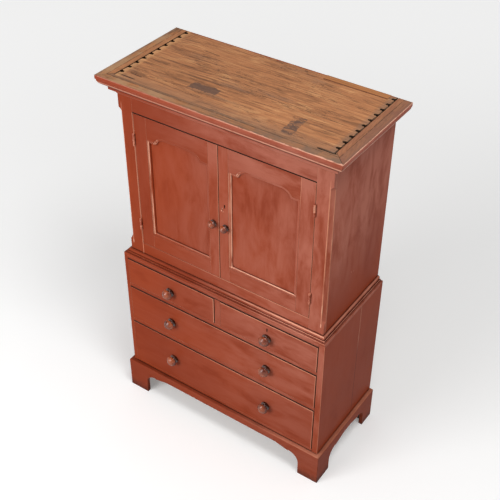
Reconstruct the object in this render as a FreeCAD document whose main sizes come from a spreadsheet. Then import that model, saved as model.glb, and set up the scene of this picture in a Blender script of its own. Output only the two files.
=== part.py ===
import FreeCAD, Part
import math
import os
import Sketcher

# Housekeepers cupboard: a two door cupboard standing on a chest of four drawers.
# Millimetres. X runs to the right, Y to the back and Z up. The origin is on the floor, midway
# between the sides, and midway between the back boards and the faces of the drawer knobs.

# Driving dimensions
SIZES = {
    # upper case
    "upper_width": 1096,
    "upper_depth": 504,
    "upper_height": 988,
    "upper_side_thickness": 22,
    "face_thickness": 22,
    "face_stile_width": 77,
    "frieze_height": 144,
    "lower_face_rail_height": 99,
    "corner_chamfer": 16,
    "chamfer_margin": 18,
    "chamfer_runout_radius": 26,
    "cupboard_floor_thickness": 20,
    "shelf_thickness": 18,
    "shelf_setback": 12,
    "shelf_bearer": 20,
    "door_stop_thickness": 12,
    "door_stop_height": 30,
    "door_stop_reach": 10,
    "back_thickness": 12,
    "back_board_gap": 1,
    # top board and its joints with the sides
    "top_thickness": 22,
    "top_overhang": 12,
    "front_pin_margin": 9,
    "back_pin_margin": 23,
    "socket_width": 16,
    "pin_clearance": 1,
    "pin_drop": 11,
    "tail_round": 10,
    "end_gap": 2.5,
    "strip_start": 208,
    "strip_width": 38,
    "strip_margin": 12,
    "strip_rise": 1.5,
    # cornice
    "cornice_height": 93,
    "cornice_bed_fillet": 2,
    "cornice_bed_lip": 4,
    "cornice_cove_radius": 18,
    "cornice_step": 5,
    "cornice_fascia": 21,
    "cornice_ovolo_radius": 34,
    "cornice_quirk": 3,
    # doors
    "centre_shift": 11,
    "door_side_gap": 2,
    "door_top_gap": 3,
    "door_bottom_gap": 1.5,
    "meeting_gap": 2.5,
    "hinge_stile_width": 70,
    "meeting_stile_width": 51,
    "door_top_rail": 80,
    "door_bottom_rail": 80,
    "arch_drop": 34,
    "arch_radius": 62,
    "arch_shoulder": 40,
    "panel_thickness": 9,
    "panel_sink": 11,
    "panel_tongue": 8,
    "bead_width": 14,
    "bead_thickness": 10,
    "bead_round": 9,
    "tenon_thickness": 8,
    "tenon_length": 40,
    "tenon_shoulder": 12,
    # hinges
    "hinge_height": 62,
    "hinge_from_door_top": 103,
    "hinge_from_door_bottom": 86,
    "leaf_width": 18,
    "leaf_thickness": 2,
    "knuckle_radius": 5,
    "pin_radius": 2.5,
    "hinge_play": 0.05,
    "knuckle_play": 0.3,
    # cupboard lock, and drawer lock of the same make
    "lock_height": 62,
    "lock_width": 42,
    "lock_thickness": 12,
    "bolt_width": 16,
    "bolt_thickness": 6,
    "bolt_length": 30,
    "bolt_rise": 20,
    "bolt_travel": 9,
    "bolt_play": 0.3,
    "mortise_play": 1,
    "lock_drop": 26,
    "keyhole_inset": 30,
    "keyhole_radius": 3.5,
    "keyhole_slot_width": 3.5,
    "keyhole_slot_length": 11,
    "door_keyhole_drop": 296.5,
    "drawer_lock_height": 45,
    "drawer_lock_width": 60,
    "drawer_bolt_length": 24,
    "drawer_keyhole_drop": 33,
    # knobs
    "drawer_knob_radius": 28,
    "drawer_knob_projection": 46,
    "door_knob_radius": 19,
    "door_knob_projection": 33,
    "knob_spigot_radius": 6,
    "spigot_play": 0.05,
    "left_knob_inset": 28,
    "right_knob_inset": 34.5,
    "knob_below_keyhole": 117,
    "knob_column_shift": 4,
    "short_knob_rise": -12,
    "middle_knob_rise": -3,
    "bottom_knob_rise": 6,
    # lower case
    "lower_height": 914,
    "waist_projection": 29,
    "lower_left_thickness": 21,
    "lower_right_thickness": 32,
    "lower_top_thickness": 18,
    "lower_bottom_thickness": 20,
    "lower_bottom_top": 207,
    "rail_depth": 60,
    "rail_thickness": 24,
    "top_drawer_opening": 156,
    "middle_drawer_opening": 214,
    "divider_width": 34,
    "runner_width": 30,
    "guide_height": 20,
    "stop_width": 30,
    "stop_length": 20,
    "stop_thickness": 6,
    "stop_inset": 90,
    # waist moulding
    "waist_height": 36,
    "waist_gap": 1,
    "waist_face": 15,
    "waist_arris": 2,
    "waist_quirk": 1.5,
    "waist_bead": 2.5,
    "waist_bead_rise": 3.5,
    "waist_ovolo": 10,
    # drawers
    "drawer_front_thickness": 22,
    "drawer_top_gap": 4.5,
    "drawer_left_gap": 0.5,
    "drawer_right_gap": 3.5,
    "drawer_running_gap": 0.5,
    "drawer_side_thickness": 12,
    "drawer_side_drop": 6,
    "drawer_back_gap": 6,
    "drawer_bottom_thickness": 8,
    "drawer_bottom_rise": 8,
    "drawer_groove": 6,
    "drawer_back_drop": 12,
    "tail_length": 14,
    "tail_flare": 3,
    "tail_spacing": 14,
    "tail_margin_below": 24,
    "tail_margin_above": 12,
    # plinth and feet
    "plinth_height": 189,
    "plinth_thickness": 20,
    "plinth_lap": 39,
    "plinth_round": 6,
    "arch_height": 147,
    "side_arch_height": 138,
    "foot_width": 114,
    "rear_foot_width": 92,
    "bracket_radius": 60,
    "bracket_drop": 12,
    "nib_drop": 5,
    "nib_run": 78,
    "rear_foot_base": 70,
    "rear_foot_radius": 60,
    "foot_block": 45,
    # clearances and cuts
    "seat_gap": 0.3,
    "overrun": 5,
}

# How near two places are taken as one
TOLERANCE = 1e-4

# Counts
PIN_COUNT = 10
BACK_BOARD_COUNT = 5
KNUCKLE_COUNT = 5
SHORT_TAIL_COUNT = 2
MIDDLE_TAIL_COUNT = 3
BOTTOM_TAIL_COUNT = 4

# Shares: the shelves of the cupboard's height, and the parts of a knob of its radius or projection
SHELF_SHARES = (1 / 3, 2 / 3)
DOME_SHARE = 0.4
RIM_SHARE = 0.2
NECK_SHARE = 0.44
FOOT_SHARE = 0.84
FOOT_EDGE_SHARE = 0.08
WAIST_SHARE = 0.34

document = FreeCAD.newDocument("housekeepers_cupboard")
sheet = document.addObject("Spreadsheet::Sheet", "Sizes")
for row, (alias, number) in enumerate(SIZES.items(), start=1):
    sheet.set(f"A{row}", str(number))
    sheet.setAlias(f"A{row}", alias)
document.recompute()


class Size:
    """A length that carries its number and its formula on the sheet."""

    def __init__(self, number, formula=None):
        self.number = float(number)
        self.formula = formula or f"({number:.12g})"

    def joined(self, other, sign, number):
        return Size(number, f"({self.formula} {sign} {as_size(other).formula})")

    def __add__(self, other):
        return self.joined(other, "+", self.number + as_size(other).number)

    def __sub__(self, other):
        return self.joined(other, "-", self.number - as_size(other).number)

    def __mul__(self, other):
        return self.joined(other, "*", self.number * as_size(other).number)

    def __truediv__(self, other):
        return self.joined(other, "/", self.number / as_size(other).number)

    def __radd__(self, other):
        return as_size(other) + self

    def __rsub__(self, other):
        return as_size(other) - self

    def __rmul__(self, other):
        return as_size(other) * self

    def __neg__(self):
        return as_size(0) - self

    def root(self):
        return Size(math.sqrt(self.number), f"sqrt({self.formula})")


def as_size(value):
    return value if isinstance(value, Size) else Size(value)


class Named:
    """Reads a driving dimension of the sheet by its name."""

    def __getattr__(self, name):
        return Size(SIZES[name], f"Sizes.{name}")


size = Named()
ZERO = Size(0)

# Places worked out from the driving dimensions
overall_depth = size.upper_depth + size.waist_projection + size.drawer_knob_projection
back = overall_depth / 2
back_inside = back - size.back_thickness

carcass_bottom = size.plinth_height - size.plinth_lap
lower_half = size.upper_width / 2 + size.waist_projection
lower_left = size.lower_left_thickness - lower_half
lower_right = lower_half - size.lower_right_thickness
lower_front = back - size.upper_depth - size.waist_projection
lower_ceiling = size.lower_height - size.lower_top_thickness

upper_half = size.upper_width / 2
upper_inside = upper_half - size.upper_side_thickness
upper_front = back - size.upper_depth
face_back = upper_front + size.face_thickness
door_back = face_back - size.seat_gap
upper_base = size.lower_height
top_face = upper_base + size.upper_height
top_under = top_face - size.top_thickness

opening_half = upper_half - size.face_stile_width
opening_bottom = upper_base + size.lower_face_rail_height
opening_top = top_under - size.frieze_height

door_bottom = opening_bottom + size.door_bottom_gap
door_top = opening_top - size.door_top_gap
door_reach = opening_half - size.door_side_gap
meeting_line = -size.centre_shift
pin_offset = size.knuckle_radius + size.knuckle_play
hinge_line = opening_half - size.door_side_gap / 2

strip_end = upper_inside - size.strip_margin
first_pin = face_back + size.front_pin_margin
pin_pitch = (back - size.back_pin_margin - first_pin) / (PIN_COUNT - 1)

cornice_projection = (size.cornice_bed_lip + size.cornice_cove_radius + size.cornice_step
                      + size.cornice_ovolo_radius + size.cornice_quirk)

nodes = {}


def bind(thing, settings):
    """Sets properties of an object by formulas on the sheet."""
    for name, value in settings.items():
        thing.setExpression(name, as_size(value).formula)


def place(thing, x, y, z):
    bind(thing, {"Placement.Base.x": x, "Placement.Base.y": y, "Placement.Base.z": z})


def keep(name, thing):
    """Makes an object the sub-part of that name."""
    thing.Label = name
    nodes[name] = thing
    return thing


def board(x, y, z, name="Board"):
    """A plain board between two places along each axis."""
    box = document.addObject("Part::Box", name)
    bind(box, {"Length": x[1] - x[0], "Width": y[1] - y[0], "Height": z[1] - z[0]})
    place(box, x[0], y[0], z[0])
    return box


def rod(x, y, z, radius, length):
    """A round tool or pin whose axis points towards the front."""
    cylinder = document.addObject("Part::Cylinder", "Rod")
    bind(cylinder, {"Radius": radius, "Height": length})
    cylinder.Placement.Rotation = FreeCAD.Rotation(FreeCAD.Vector(1, 0, 0), 90)
    place(cylinder, x, y, z)
    return cylinder


def cut(base, *tools):
    """Takes each tool out of the base."""
    for tool in tools:
        result = document.addObject("Part::Cut", "Cut")
        result.Base = base
        result.Tool = tool
        base = result
    return base


def fused(*members):
    result = document.addObject("Part::MultiFuse", "Fuse")
    result.Shapes = list(members)
    return result


def ordered(first, second):
    """The same two places, the lower first."""
    return (first, second) if first.number <= second.number else (second, first)


def tenoned_rail(x, y, z):
    """A rail between two shoulders with a tenon at each end, and the tenons by themselves."""
    middle = (y[0] + y[1]) / 2
    tenon_y = (middle - size.tenon_thickness / 2, middle + size.tenon_thickness / 2)
    tenon_z = (z[0] + size.tenon_shoulder, z[1] - size.tenon_shoulder)
    tenons = [board((x[0] - size.tenon_length, x[0]), tenon_y, tenon_z),
              board((x[1], x[1] + size.tenon_length), tenon_y, tenon_z)]
    return fused(board(x, y, z), *tenons), group(*tenons)


def group(*members):
    result = document.addObject("Part::Compound", "Group")
    result.Links = list(members)
    return result


def new_body(x=ZERO, y=ZERO, z=ZERO, turn=0):
    """A body whose own frame stands at a place and is turned about the vertical."""
    body = document.addObject("PartDesign::Body", "Body")
    body.Placement.Rotation = FreeCAD.Rotation(FreeCAD.Vector(0, 0, 1), turn)
    place(body, x, y, z)
    return body


def new_sketch(body, plane, lift=ZERO, turn=0):
    """A sketch on a plane of the body, lifted along its normal and turned about its own upright."""
    sketch = body.newObject("Sketcher::SketchObject", "Sketch")
    plane_feature = next(f for f in body.Origin.OriginFeatures if f.Role == plane)
    sketch.AttachmentSupport = [(plane_feature, "")]
    sketch.MapMode = "FlatFace"
    sketch.AttachmentOffset = FreeCAD.Placement(
        FreeCAD.Vector(), FreeCAD.Rotation(FreeCAD.Vector(0, 1, 0), turn))
    bind(sketch, {"AttachmentOffset.Base.z": lift})
    return sketch


def arc_centre(start, end, radius, side):
    """Centre of the short arc between two points; side is 1 for a turn to the left."""
    chord = end - start
    rise = math.sqrt(max(radius ** 2 - (chord.Length / 2) ** 2, 0))
    across = FreeCAD.Vector(-chord.y, chord.x, 0).normalize()
    return (start + end) / 2 + across * rise * side


def limit(sketch, kind, geometry, point, value):
    index = sketch.addConstraint(Sketcher.Constraint(kind, geometry, point, value.number))
    bind(sketch, {f"Constraints[{index}]": value})


def draw(sketch, corners):
    """Draws a closed outline; a corner with a radius and a side starts an arc."""
    points = [FreeCAD.Vector(as_size(c[0]).number, as_size(c[1]).number, 0) for c in corners]
    first_geometry = sketch.GeometryCount
    starts = []
    for index, corner in enumerate(corners):
        start = points[index]
        end = points[(index + 1) % len(points)]
        if len(corner) == 2:
            sketch.addGeometry(Part.LineSegment(start, end), False)
            starts.append(1)
            continue
        radius, side = corner[2], corner[3]
        centre = arc_centre(start, end, radius.number, side)
        circle = Part.Circle(centre, FreeCAD.Vector(0, 0, 1), radius.number)
        first, last = (start, end) if side > 0 else (end, start)
        angles = [math.atan2(p.y - centre.y, p.x - centre.x) for p in (first, last)]
        sketch.addGeometry(Part.ArcOfCircle(circle, angles[0], angles[1]), False)
        starts.append(1 if side > 0 else 2)
    for index, corner in enumerate(corners):
        here = first_geometry + index
        following = (index + 1) % len(corners)
        sketch.addConstraint(Sketcher.Constraint(
            "Coincident", here, 3 - starts[index], first_geometry + following, starts[following]))
        limit(sketch, "DistanceX", here, starts[index], as_size(corner[0]))
        limit(sketch, "DistanceY", here, starts[index], as_size(corner[1]))
        if len(corner) > 2:
            radius_index = sketch.addConstraint(
                Sketcher.Constraint("Radius", here, corner[2].number))
            bind(sketch, {f"Constraints[{radius_index}]": corner[2]})
    return sketch


def draw_circle(sketch, radius):
    """Draws a circle about the sketch's own origin."""
    sketch.addGeometry(Part.Circle(FreeCAD.Vector(), FreeCAD.Vector(0, 0, 1), radius.number), False)
    sketch.addConstraint(Sketcher.Constraint("Coincident", 0, 3, -1, 1))
    index = sketch.addConstraint(Sketcher.Constraint("Radius", 0, radius.number))
    bind(sketch, {f"Constraints[{index}]": radius})
    return sketch


def rectangle(u, v):
    return [(u[0], v[0]), (u[1], v[0]), (u[1], v[1]), (u[0], v[1])]


def pad(body, sketch, length):
    feature = body.newObject("PartDesign::Pad", "Pad")
    feature.Profile = sketch
    bind(feature, {"Length": length})
    return feature


def pocket(body, sketch, length):
    """Cuts a sketch out of the body to the same distance on both sides of its plane."""
    feature = body.newObject("PartDesign::Pocket", "Pocket")
    feature.Profile = sketch
    feature.SideType = "Symmetric"
    bind(feature, {"Length": length * 2})
    return feature


def repeat(body, features, sketch, axis, spacing, count):
    """Repeats features along an axis of their sketch."""
    pattern = body.newObject("PartDesign::LinearPattern", "Pattern")
    pattern.Originals = features
    pattern.Direction = (sketch, [axis])
    pattern.Mode = "Spacing"
    pattern.Occurrences = count
    bind(pattern, {"Offset": spacing})
    body.Tip = pattern
    return pattern


def moulded_run(profile, height, projection, run, mitres, x, y, z, turn=0):
    """A run of moulding. Its frame has X along the run and -Y outward, and its inner face at Y 0.

    The run is measured on the inner face. A mitred end goes on past it by the projection.
    """
    start = projection if mitres[0] else ZERO
    end = start + run
    stock = end + projection if mitres[1] else end
    body = new_body(x, y, z, turn)
    solid = pad(body, draw(new_sketch(body, "YZ_Plane"), profile), stock)
    over = size.overrun
    if mitres[0]:
        waste = [(start + over, over), (-over, over), (-over, -(projection + over))]
        solid = pocket(body, draw(new_sketch(body, "XY_Plane"), waste), height + over)
    if mitres[1]:
        waste = [(end - over, over), (stock + over, -(projection + over)), (stock + over, over)]
        solid = pocket(body, draw(new_sketch(body, "XY_Plane"), waste), height + over)
    return body


# Upper case: boards and face frame
def upper_side(side):
    """A side board, whose top edge carries the pins that stand in the sockets of the top board."""
    inner, outer = upper_inside * side, upper_half * side
    low, high = (inner, outer) if side > 0 else (outer, inner)
    body = new_body()
    plan = rectangle((low, high), (face_back, back))
    pad(body, draw(new_sketch(body, "XY_Plane", upper_base), plan), top_under - upper_base)
    half_pin = size.socket_width / 2 - size.pin_clearance
    round_centre = (upper_inside + size.socket_width / 2) * side
    first = first_pin
    tip = round_centre - half_pin * side
    pin_plan = [
        (outer, first - half_pin),
        (outer, first + half_pin),
        (round_centre, first + half_pin, half_pin, side),
        (tip, first, half_pin, side),
        (round_centre, first - half_pin),
    ]
    sketch = draw(new_sketch(body, "XY_Plane", top_under), pin_plan)
    pin = pad(body, sketch, size.top_thickness - size.pin_drop)
    repeat(body, [pin], sketch, "V_Axis", pin_pitch, PIN_COUNT)
    return body


def top_board():
    """The top board: its ends are cut into tails, with round worn corners and round sockets."""
    body = new_body()
    front, strip_front = upper_front - size.top_overhang, back - size.strip_width
    board_half = upper_half - size.end_gap
    plan = [
        (-board_half, front), (board_half, front), (board_half, back), (strip_end, back),
        (strip_end, strip_front), (size.strip_start, strip_front), (size.strip_start, back),
        (-board_half, back),
    ]
    pad(body, draw(new_sketch(body, "XY_Plane", top_under), plan), size.top_thickness)
    half, rounding, over = size.socket_width / 2, size.tail_round, size.overrun
    first = first_pin
    for side in (-1, 1):
        edge = board_half * side
        beyond = edge + over * side
        shoulder = edge - rounding * side
        round_centre = (upper_inside + half) * side
        socket = [
            (beyond, first - half - rounding),
            (edge, first - half - rounding, rounding, side),
            (shoulder, first - half),
            (round_centre, first - half, half, -side),
            (upper_inside * side, first, half, -side),
            (round_centre, first + half),
            (shoulder, first + half, rounding, side),
            (edge, first + half + rounding),
            (beyond, first + half + rounding),
        ]
        sketch = draw(new_sketch(body, "XY_Plane", top_under), socket)
        cutter = pocket(body, sketch, size.top_thickness + over)
        repeat(body, [cutter], sketch, "V_Axis", pin_pitch, PIN_COUNT)
    return body


def face_stile(side, *tools):
    """A stile of the face frame, with a stopped chamfer that runs out in a curve at each end."""
    outer, inner = upper_half, opening_half
    low, high = (-(outer - inner), ZERO) if side > 0 else (ZERO, outer - inner)
    body = new_body(outer * side, upper_front, upper_base)
    plan = rectangle((low, high), (ZERO, size.face_thickness))
    pad(body, draw(new_sketch(body, "XY_Plane"), plan), top_under - upper_base)
    depth = size.corner_chamfer / Size(2).root()
    radius = size.chamfer_runout_radius
    runout = (depth * (radius * 2 - depth)).root()
    low_end = opening_bottom - upper_base + size.chamfer_margin
    high_end = opening_top - upper_base - size.chamfer_margin
    beyond = size.overrun * side
    waste = [
        (beyond, low_end - runout),
        (beyond, high_end + runout),
        (ZERO, high_end + runout, radius, side),
        (-depth * side, high_end),
        (-depth * side, low_end, radius, side),
        (ZERO, low_end - runout),
    ]
    sketch = draw(new_sketch(body, "XZ_Plane", turn=-45 * side), waste)
    pocket(body, sketch, size.corner_chamfer + size.overrun)
    return cut(body, *tools)


def back_boards(first, last, low, high):
    """Upright boards side by side, with a narrow gap between them."""
    pitch = (last - first) / BACK_BOARD_COUNT
    boards = []
    for index in range(BACK_BOARD_COUNT):
        left = first + pitch * index
        right = left + pitch - (size.back_board_gap if index < BACK_BOARD_COUNT - 1 else 0)
        boards.append(board((left, right), (back_inside, back), (low, high)))
    return group(*boards)


def shelves_and_bearers():
    front = face_back + size.shelf_setback
    clear_height = top_under - opening_bottom
    shelves, bearers = [], []
    for share in SHELF_SHARES:
        level = opening_bottom + clear_height * share
        shelves.append(board((-upper_inside + size.seat_gap, upper_inside - size.seat_gap),
                             (front, back_inside), (level, level + size.shelf_thickness)))
        for side in (-1, 1):
            reach = ordered(upper_inside * side, (upper_inside - size.shelf_bearer) * side)
            bearers.append(board(reach, (front, back_inside), (level - size.shelf_bearer, level)))
    return group(*shelves), group(*bearers)


# Cornice and waist moulding
def cornice_profile():
    u0 = size.cornice_bed_lip
    u1 = u0 + size.cornice_cove_radius
    u2 = u1 + size.cornice_step
    u3 = u2 + size.cornice_ovolo_radius
    v1 = size.cornice_bed_fillet
    v2 = v1 + size.cornice_cove_radius
    v3 = v2 + size.cornice_fascia
    v4 = v3 + size.cornice_ovolo_radius
    return [
        (ZERO, ZERO), (-u0, ZERO), (-u0, v1, size.cornice_cove_radius, 1), (-u1, v2), (-u2, v2),
        (-u2, v3, size.cornice_ovolo_radius, -1), (-u3, v4), (-cornice_projection, v4),
        (-cornice_projection, size.cornice_height), (ZERO, size.cornice_height),
    ]


def cornice_run(run, mitres, x, y, turn=0):
    return moulded_run(cornice_profile(), size.cornice_height, cornice_projection, run, mitres,
                       x, y, top_face - size.cornice_height, turn)


def cornice_front():
    """The front run is housed behind for the overhanging edge of the top board."""
    body = cornice_run(size.upper_width, (True, True),
                       -(upper_half + cornice_projection), upper_front)
    housing = rectangle((cornice_projection, cornice_projection + size.upper_width),
                        (-size.top_overhang, size.overrun))
    sketch = draw(new_sketch(body, "XY_Plane", size.cornice_height), housing)
    pocket(body, sketch, size.top_thickness)
    return body


def waist_profile():
    """A flat face, a ledge, a small bead between two quirks, and an ovolo up to the top."""
    width = size.waist_projection - size.waist_gap
    face, arris, quirk = size.waist_face, size.waist_arris, size.waist_quirk
    bead, ovolo = size.waist_bead, size.waist_ovolo
    spring = face + size.waist_bead_rise
    bead_inner = ovolo + quirk
    bead_outer = bead_inner + bead * 2
    return [
        (ZERO, ZERO), (-width, ZERO),
        (-width, face - arris, arris, -1), (-(width - arris), face),
        (-(bead_outer + quirk), face), (-(bead_outer + quirk), face - quirk),
        (-bead_outer, face - quirk),
        (-bead_outer, spring, bead, -1), (-(bead_outer - bead), spring + bead, bead, -1),
        (-bead_inner, spring), (-bead_inner, spring - quirk), (-ovolo, spring - quirk),
        (-ovolo, size.waist_height - ovolo, ovolo, -1), (ZERO, size.waist_height),
    ]


def waist_run(run, mitres, x, y, turn=0):
    return moulded_run(waist_profile(), size.waist_height,
                       size.waist_projection - size.waist_gap, run, mitres,
                       x, y, size.lower_height, turn)


def waist_moulding():
    inner_half = upper_half + size.waist_gap
    inner_front = upper_front - size.waist_gap
    depth = back - inner_front
    return group(
        waist_run(inner_half * 2, (True, True), -lower_half, inner_front),
        waist_run(depth, (True, False), inner_half, lower_front, 90),
        waist_run(depth, (False, True), -inner_half, back, -90),
    )


# Hinges
knuckle_height = (size.hinge_height - size.knuckle_play * (KNUCKLE_COUNT - 1)) / KNUCKLE_COUNT
knuckle_pitch = knuckle_height + size.knuckle_play


def hinge_leaf(side, towards, level, first, count):
    """One leaf: a plate let into the wood, and every second knuckle round the pin."""
    body = new_body(hinge_line * side, upper_front - pin_offset, level)
    near = size.door_side_gap / 2 * towards
    far = near + size.leaf_thickness * towards
    across = (near, far) if towards > 0 else (far, near)
    plate = rectangle(across, (pin_offset, pin_offset + size.leaf_width))
    pad(body, draw(new_sketch(body, "XY_Plane"), plate), size.hinge_height)
    start = knuckle_pitch * first
    web = rectangle(across, (ZERO, pin_offset + size.leaf_thickness))
    web_sketch = draw(new_sketch(body, "XY_Plane", start), web)
    web_pad = pad(body, web_sketch, knuckle_height)
    round_sketch = draw_circle(new_sketch(body, "XY_Plane", start), size.knuckle_radius)
    knuckle = [web_pad, pad(body, round_sketch, knuckle_height)]
    repeat(body, knuckle, round_sketch, "N_Axis", knuckle_pitch * 2, count)
    bore = draw_circle(new_sketch(body, "XY_Plane"), size.pin_radius + size.hinge_play)
    pocket(body, bore, size.hinge_height + size.overrun)
    return body


def hinge_pin(side, level):
    cylinder = document.addObject("Part::Cylinder", "Pin")
    bind(cylinder, {"Radius": size.pin_radius, "Height": size.hinge_height})
    place(cylinder, hinge_line * side, upper_front - pin_offset, level)
    return cylinder


def keyhole(x, z, front):
    """A round hole over a slot, as a tool that goes through the wood in front of a lock."""
    half, reach = size.keyhole_slot_width / 2, size.lock_thickness + size.overrun
    round_part = rod(x, front + reach, z, size.keyhole_radius, reach + size.overrun)
    slot = board((x - half, x + half), (front - size.overrun, front + reach),
                 (z - size.keyhole_slot_length, z))
    result = document.addObject("Part::Fuse", "Keyhole")
    result.Base = round_part
    result.Tool = slot
    return result


# Knobs
def knob(x, y, z, radius, projection, spigot):
    """A turned knob: domed head, neck, foot collar, and a spigot that goes into the wood."""
    body = new_body(x, y, z)
    dome = projection * DOME_SHARE
    rim = radius * RIM_SHARE
    neck = radius * NECK_SHARE
    foot = radius * FOOT_SHARE
    foot_edge = projection * FOOT_EDGE_SHARE
    waist = projection * WAIST_SHARE
    shoulder = projection - dome
    under_rim = shoulder - rim
    dome_radius = (radius * radius + dome * dome) / (dome * 2)
    flare, rise = foot - neck, waist - foot_edge
    flare_radius = (flare * flare + rise * rise) / (flare * 2)
    profile = [
        (ZERO, -projection, dome_radius, 1),
        (radius, -shoulder, rim, 1),
        (radius - rim / 2, -under_rim),
        (neck, -waist, flare_radius, -1),
        (foot, -foot_edge),
        (foot, ZERO),
        (size.knob_spigot_radius, ZERO),
        (size.knob_spigot_radius, spigot),
        (ZERO, spigot),
    ]
    sketch = draw(new_sketch(body, "XY_Plane"), profile)
    turning = body.newObject("PartDesign::Revolution", "Turning")
    turning.Profile = sketch
    turning.ReferenceAxis = (sketch, ["V_Axis"])
    turning.Angle = 360
    return body


def knob_hole(x, y, z, depth):
    return rod(x, y + depth, z, size.knob_spigot_radius + size.spigot_play, depth + size.overrun)


# Doors
def panel_outline(left, right, inset):
    """Outline of the panel opening, drawn in by an inset; its head is an arch on two shoulders."""
    bottom = door_bottom + size.door_bottom_rail + inset
    top = door_top - size.door_top_rail - inset
    shoulder = top - size.arch_drop
    radius = size.arch_radius - inset
    spring = (size.arch_drop * (size.arch_radius * 2 - size.arch_drop)).root()
    reach = size.arch_shoulder + spring
    chord = (size.arch_drop * (radius * 2 - size.arch_drop)).root()
    left_centre, right_centre = left + reach, right - reach
    return [
        (left + inset, bottom), (right - inset, bottom), (right - inset, shoulder),
        (right_centre + chord, shoulder, radius, 1), (right_centre, top),
        (left_centre, top, radius, 1), (left_centre - chord, shoulder),
        (left + inset, shoulder),
    ]


def opening_tool(left, right):
    """A tool as large as the panel opening, right through the door."""
    body = new_body(y=door_back + size.overrun)
    outline = panel_outline(left, right, ZERO)
    pad(body, draw(new_sketch(body, "XZ_Plane"), outline), size.face_thickness + size.overrun * 2)
    return body


def door_panel(left, right):
    body = new_body(y=upper_front + size.panel_sink + size.panel_thickness)
    outline = panel_outline(left, right, -size.panel_tongue)
    pad(body, draw(new_sketch(body, "XZ_Plane"), outline), size.panel_thickness)
    return body


def panel_bead(left, right):
    """The planted moulding: a ring round the panel whose inner edge is rounded over."""
    body = new_body(y=upper_front + size.panel_sink)
    sketch = draw(new_sketch(body, "XZ_Plane"), panel_outline(left, right, ZERO))
    inner = panel_outline(left, right, size.bead_width)
    draw(sketch, inner)
    ring = pad(body, sketch, size.bead_thickness)
    document.recompute()
    highest = max(corner[1].number for corner in inner)
    furthest = max(corner[0].number for corner in inner)
    nearest = min(corner[0].number for corner in inner)
    names = []
    for number, edge in enumerate(ring.Shape.Edges, start=1):
        box = edge.BoundBox
        in_front = abs(box.YMax + size.bead_thickness.number) < TOLERANCE
        within = (box.XMin > nearest - TOLERANCE and box.XMax < furthest + TOLERANCE
                  and box.ZMax < highest + TOLERANCE)
        if in_front and within:
            names.append(f"Edge{number}")
    rounding = body.newObject("PartDesign::Fillet", "Rounding")
    rounding.Base = (ring, names)
    bind(rounding, {"Radius": size.bead_round})
    return body


def door(side, name, leaves, meeting_cuts):
    """The woodwork of a door, with its cuts for leaves, knob and lock."""
    hinge_edge = door_reach * side
    meeting_edge = meeting_line + size.meeting_gap / 2 * side
    hinge_inner = hinge_edge - size.hinge_stile_width * side
    meeting_inner = meeting_edge + size.meeting_stile_width * side
    left, right = ordered(hinge_inner, meeting_inner)
    depth = (upper_front, door_back)
    height = (door_bottom, door_top)

    panel = keep(f"{name}_door_panel", door_panel(left, right))
    shoulder = door_top - size.door_top_rail - size.arch_drop
    top_rail, top_tenons = tenoned_rail((left, right), depth, (shoulder, door_top))
    bottom_rail, bottom_tenons = tenoned_rail(
        (left, right), depth, (door_bottom, door_bottom + size.door_bottom_rail))
    top_rail = cut(top_rail, opening_tool(left, right), panel)
    keep(f"{name}_door_rails", group(top_rail, cut(bottom_rail, panel)))

    hinge_stile = board(ordered(hinge_edge, hinge_inner), depth, height)
    meeting_stile = board(ordered(meeting_edge, meeting_inner), depth, height)
    hinge_stile = cut(hinge_stile, panel, top_tenons, bottom_tenons, leaves)
    meeting_stile = cut(meeting_stile, panel, top_tenons, bottom_tenons, *meeting_cuts)
    keep(f"{name}_door_stiles", group(hinge_stile, meeting_stile))
    keep(f"{name}_door_panel_moulding", panel_bead(left, right))


# Locks
def lock_case(x, y, z, channel, key_tool):
    return cut(board(x, y, z, "Case"), channel, key_tool)


def spread(span, play):
    return span[0] - play, span[1] + play


# Drawers
def dovetails(x, front_back, z, count):
    """The tails at the front end of a drawer side, one above the other."""
    first = z[0] + size.tail_margin_below
    pitch = (z[1] - size.tail_margin_above - first) / count
    last, flare = first + pitch - size.tail_spacing, size.tail_flare
    body = new_body(x[0], front_back)
    outline = [(ZERO, first), (ZERO, last), (-size.tail_length, last + flare),
               (-size.tail_length, first - flare)]
    sketch = draw(new_sketch(body, "YZ_Plane"), outline)
    repeat(body, [pad(body, sketch, x[1] - x[0])], sketch, "V_Axis", pitch, count)
    return body


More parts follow.
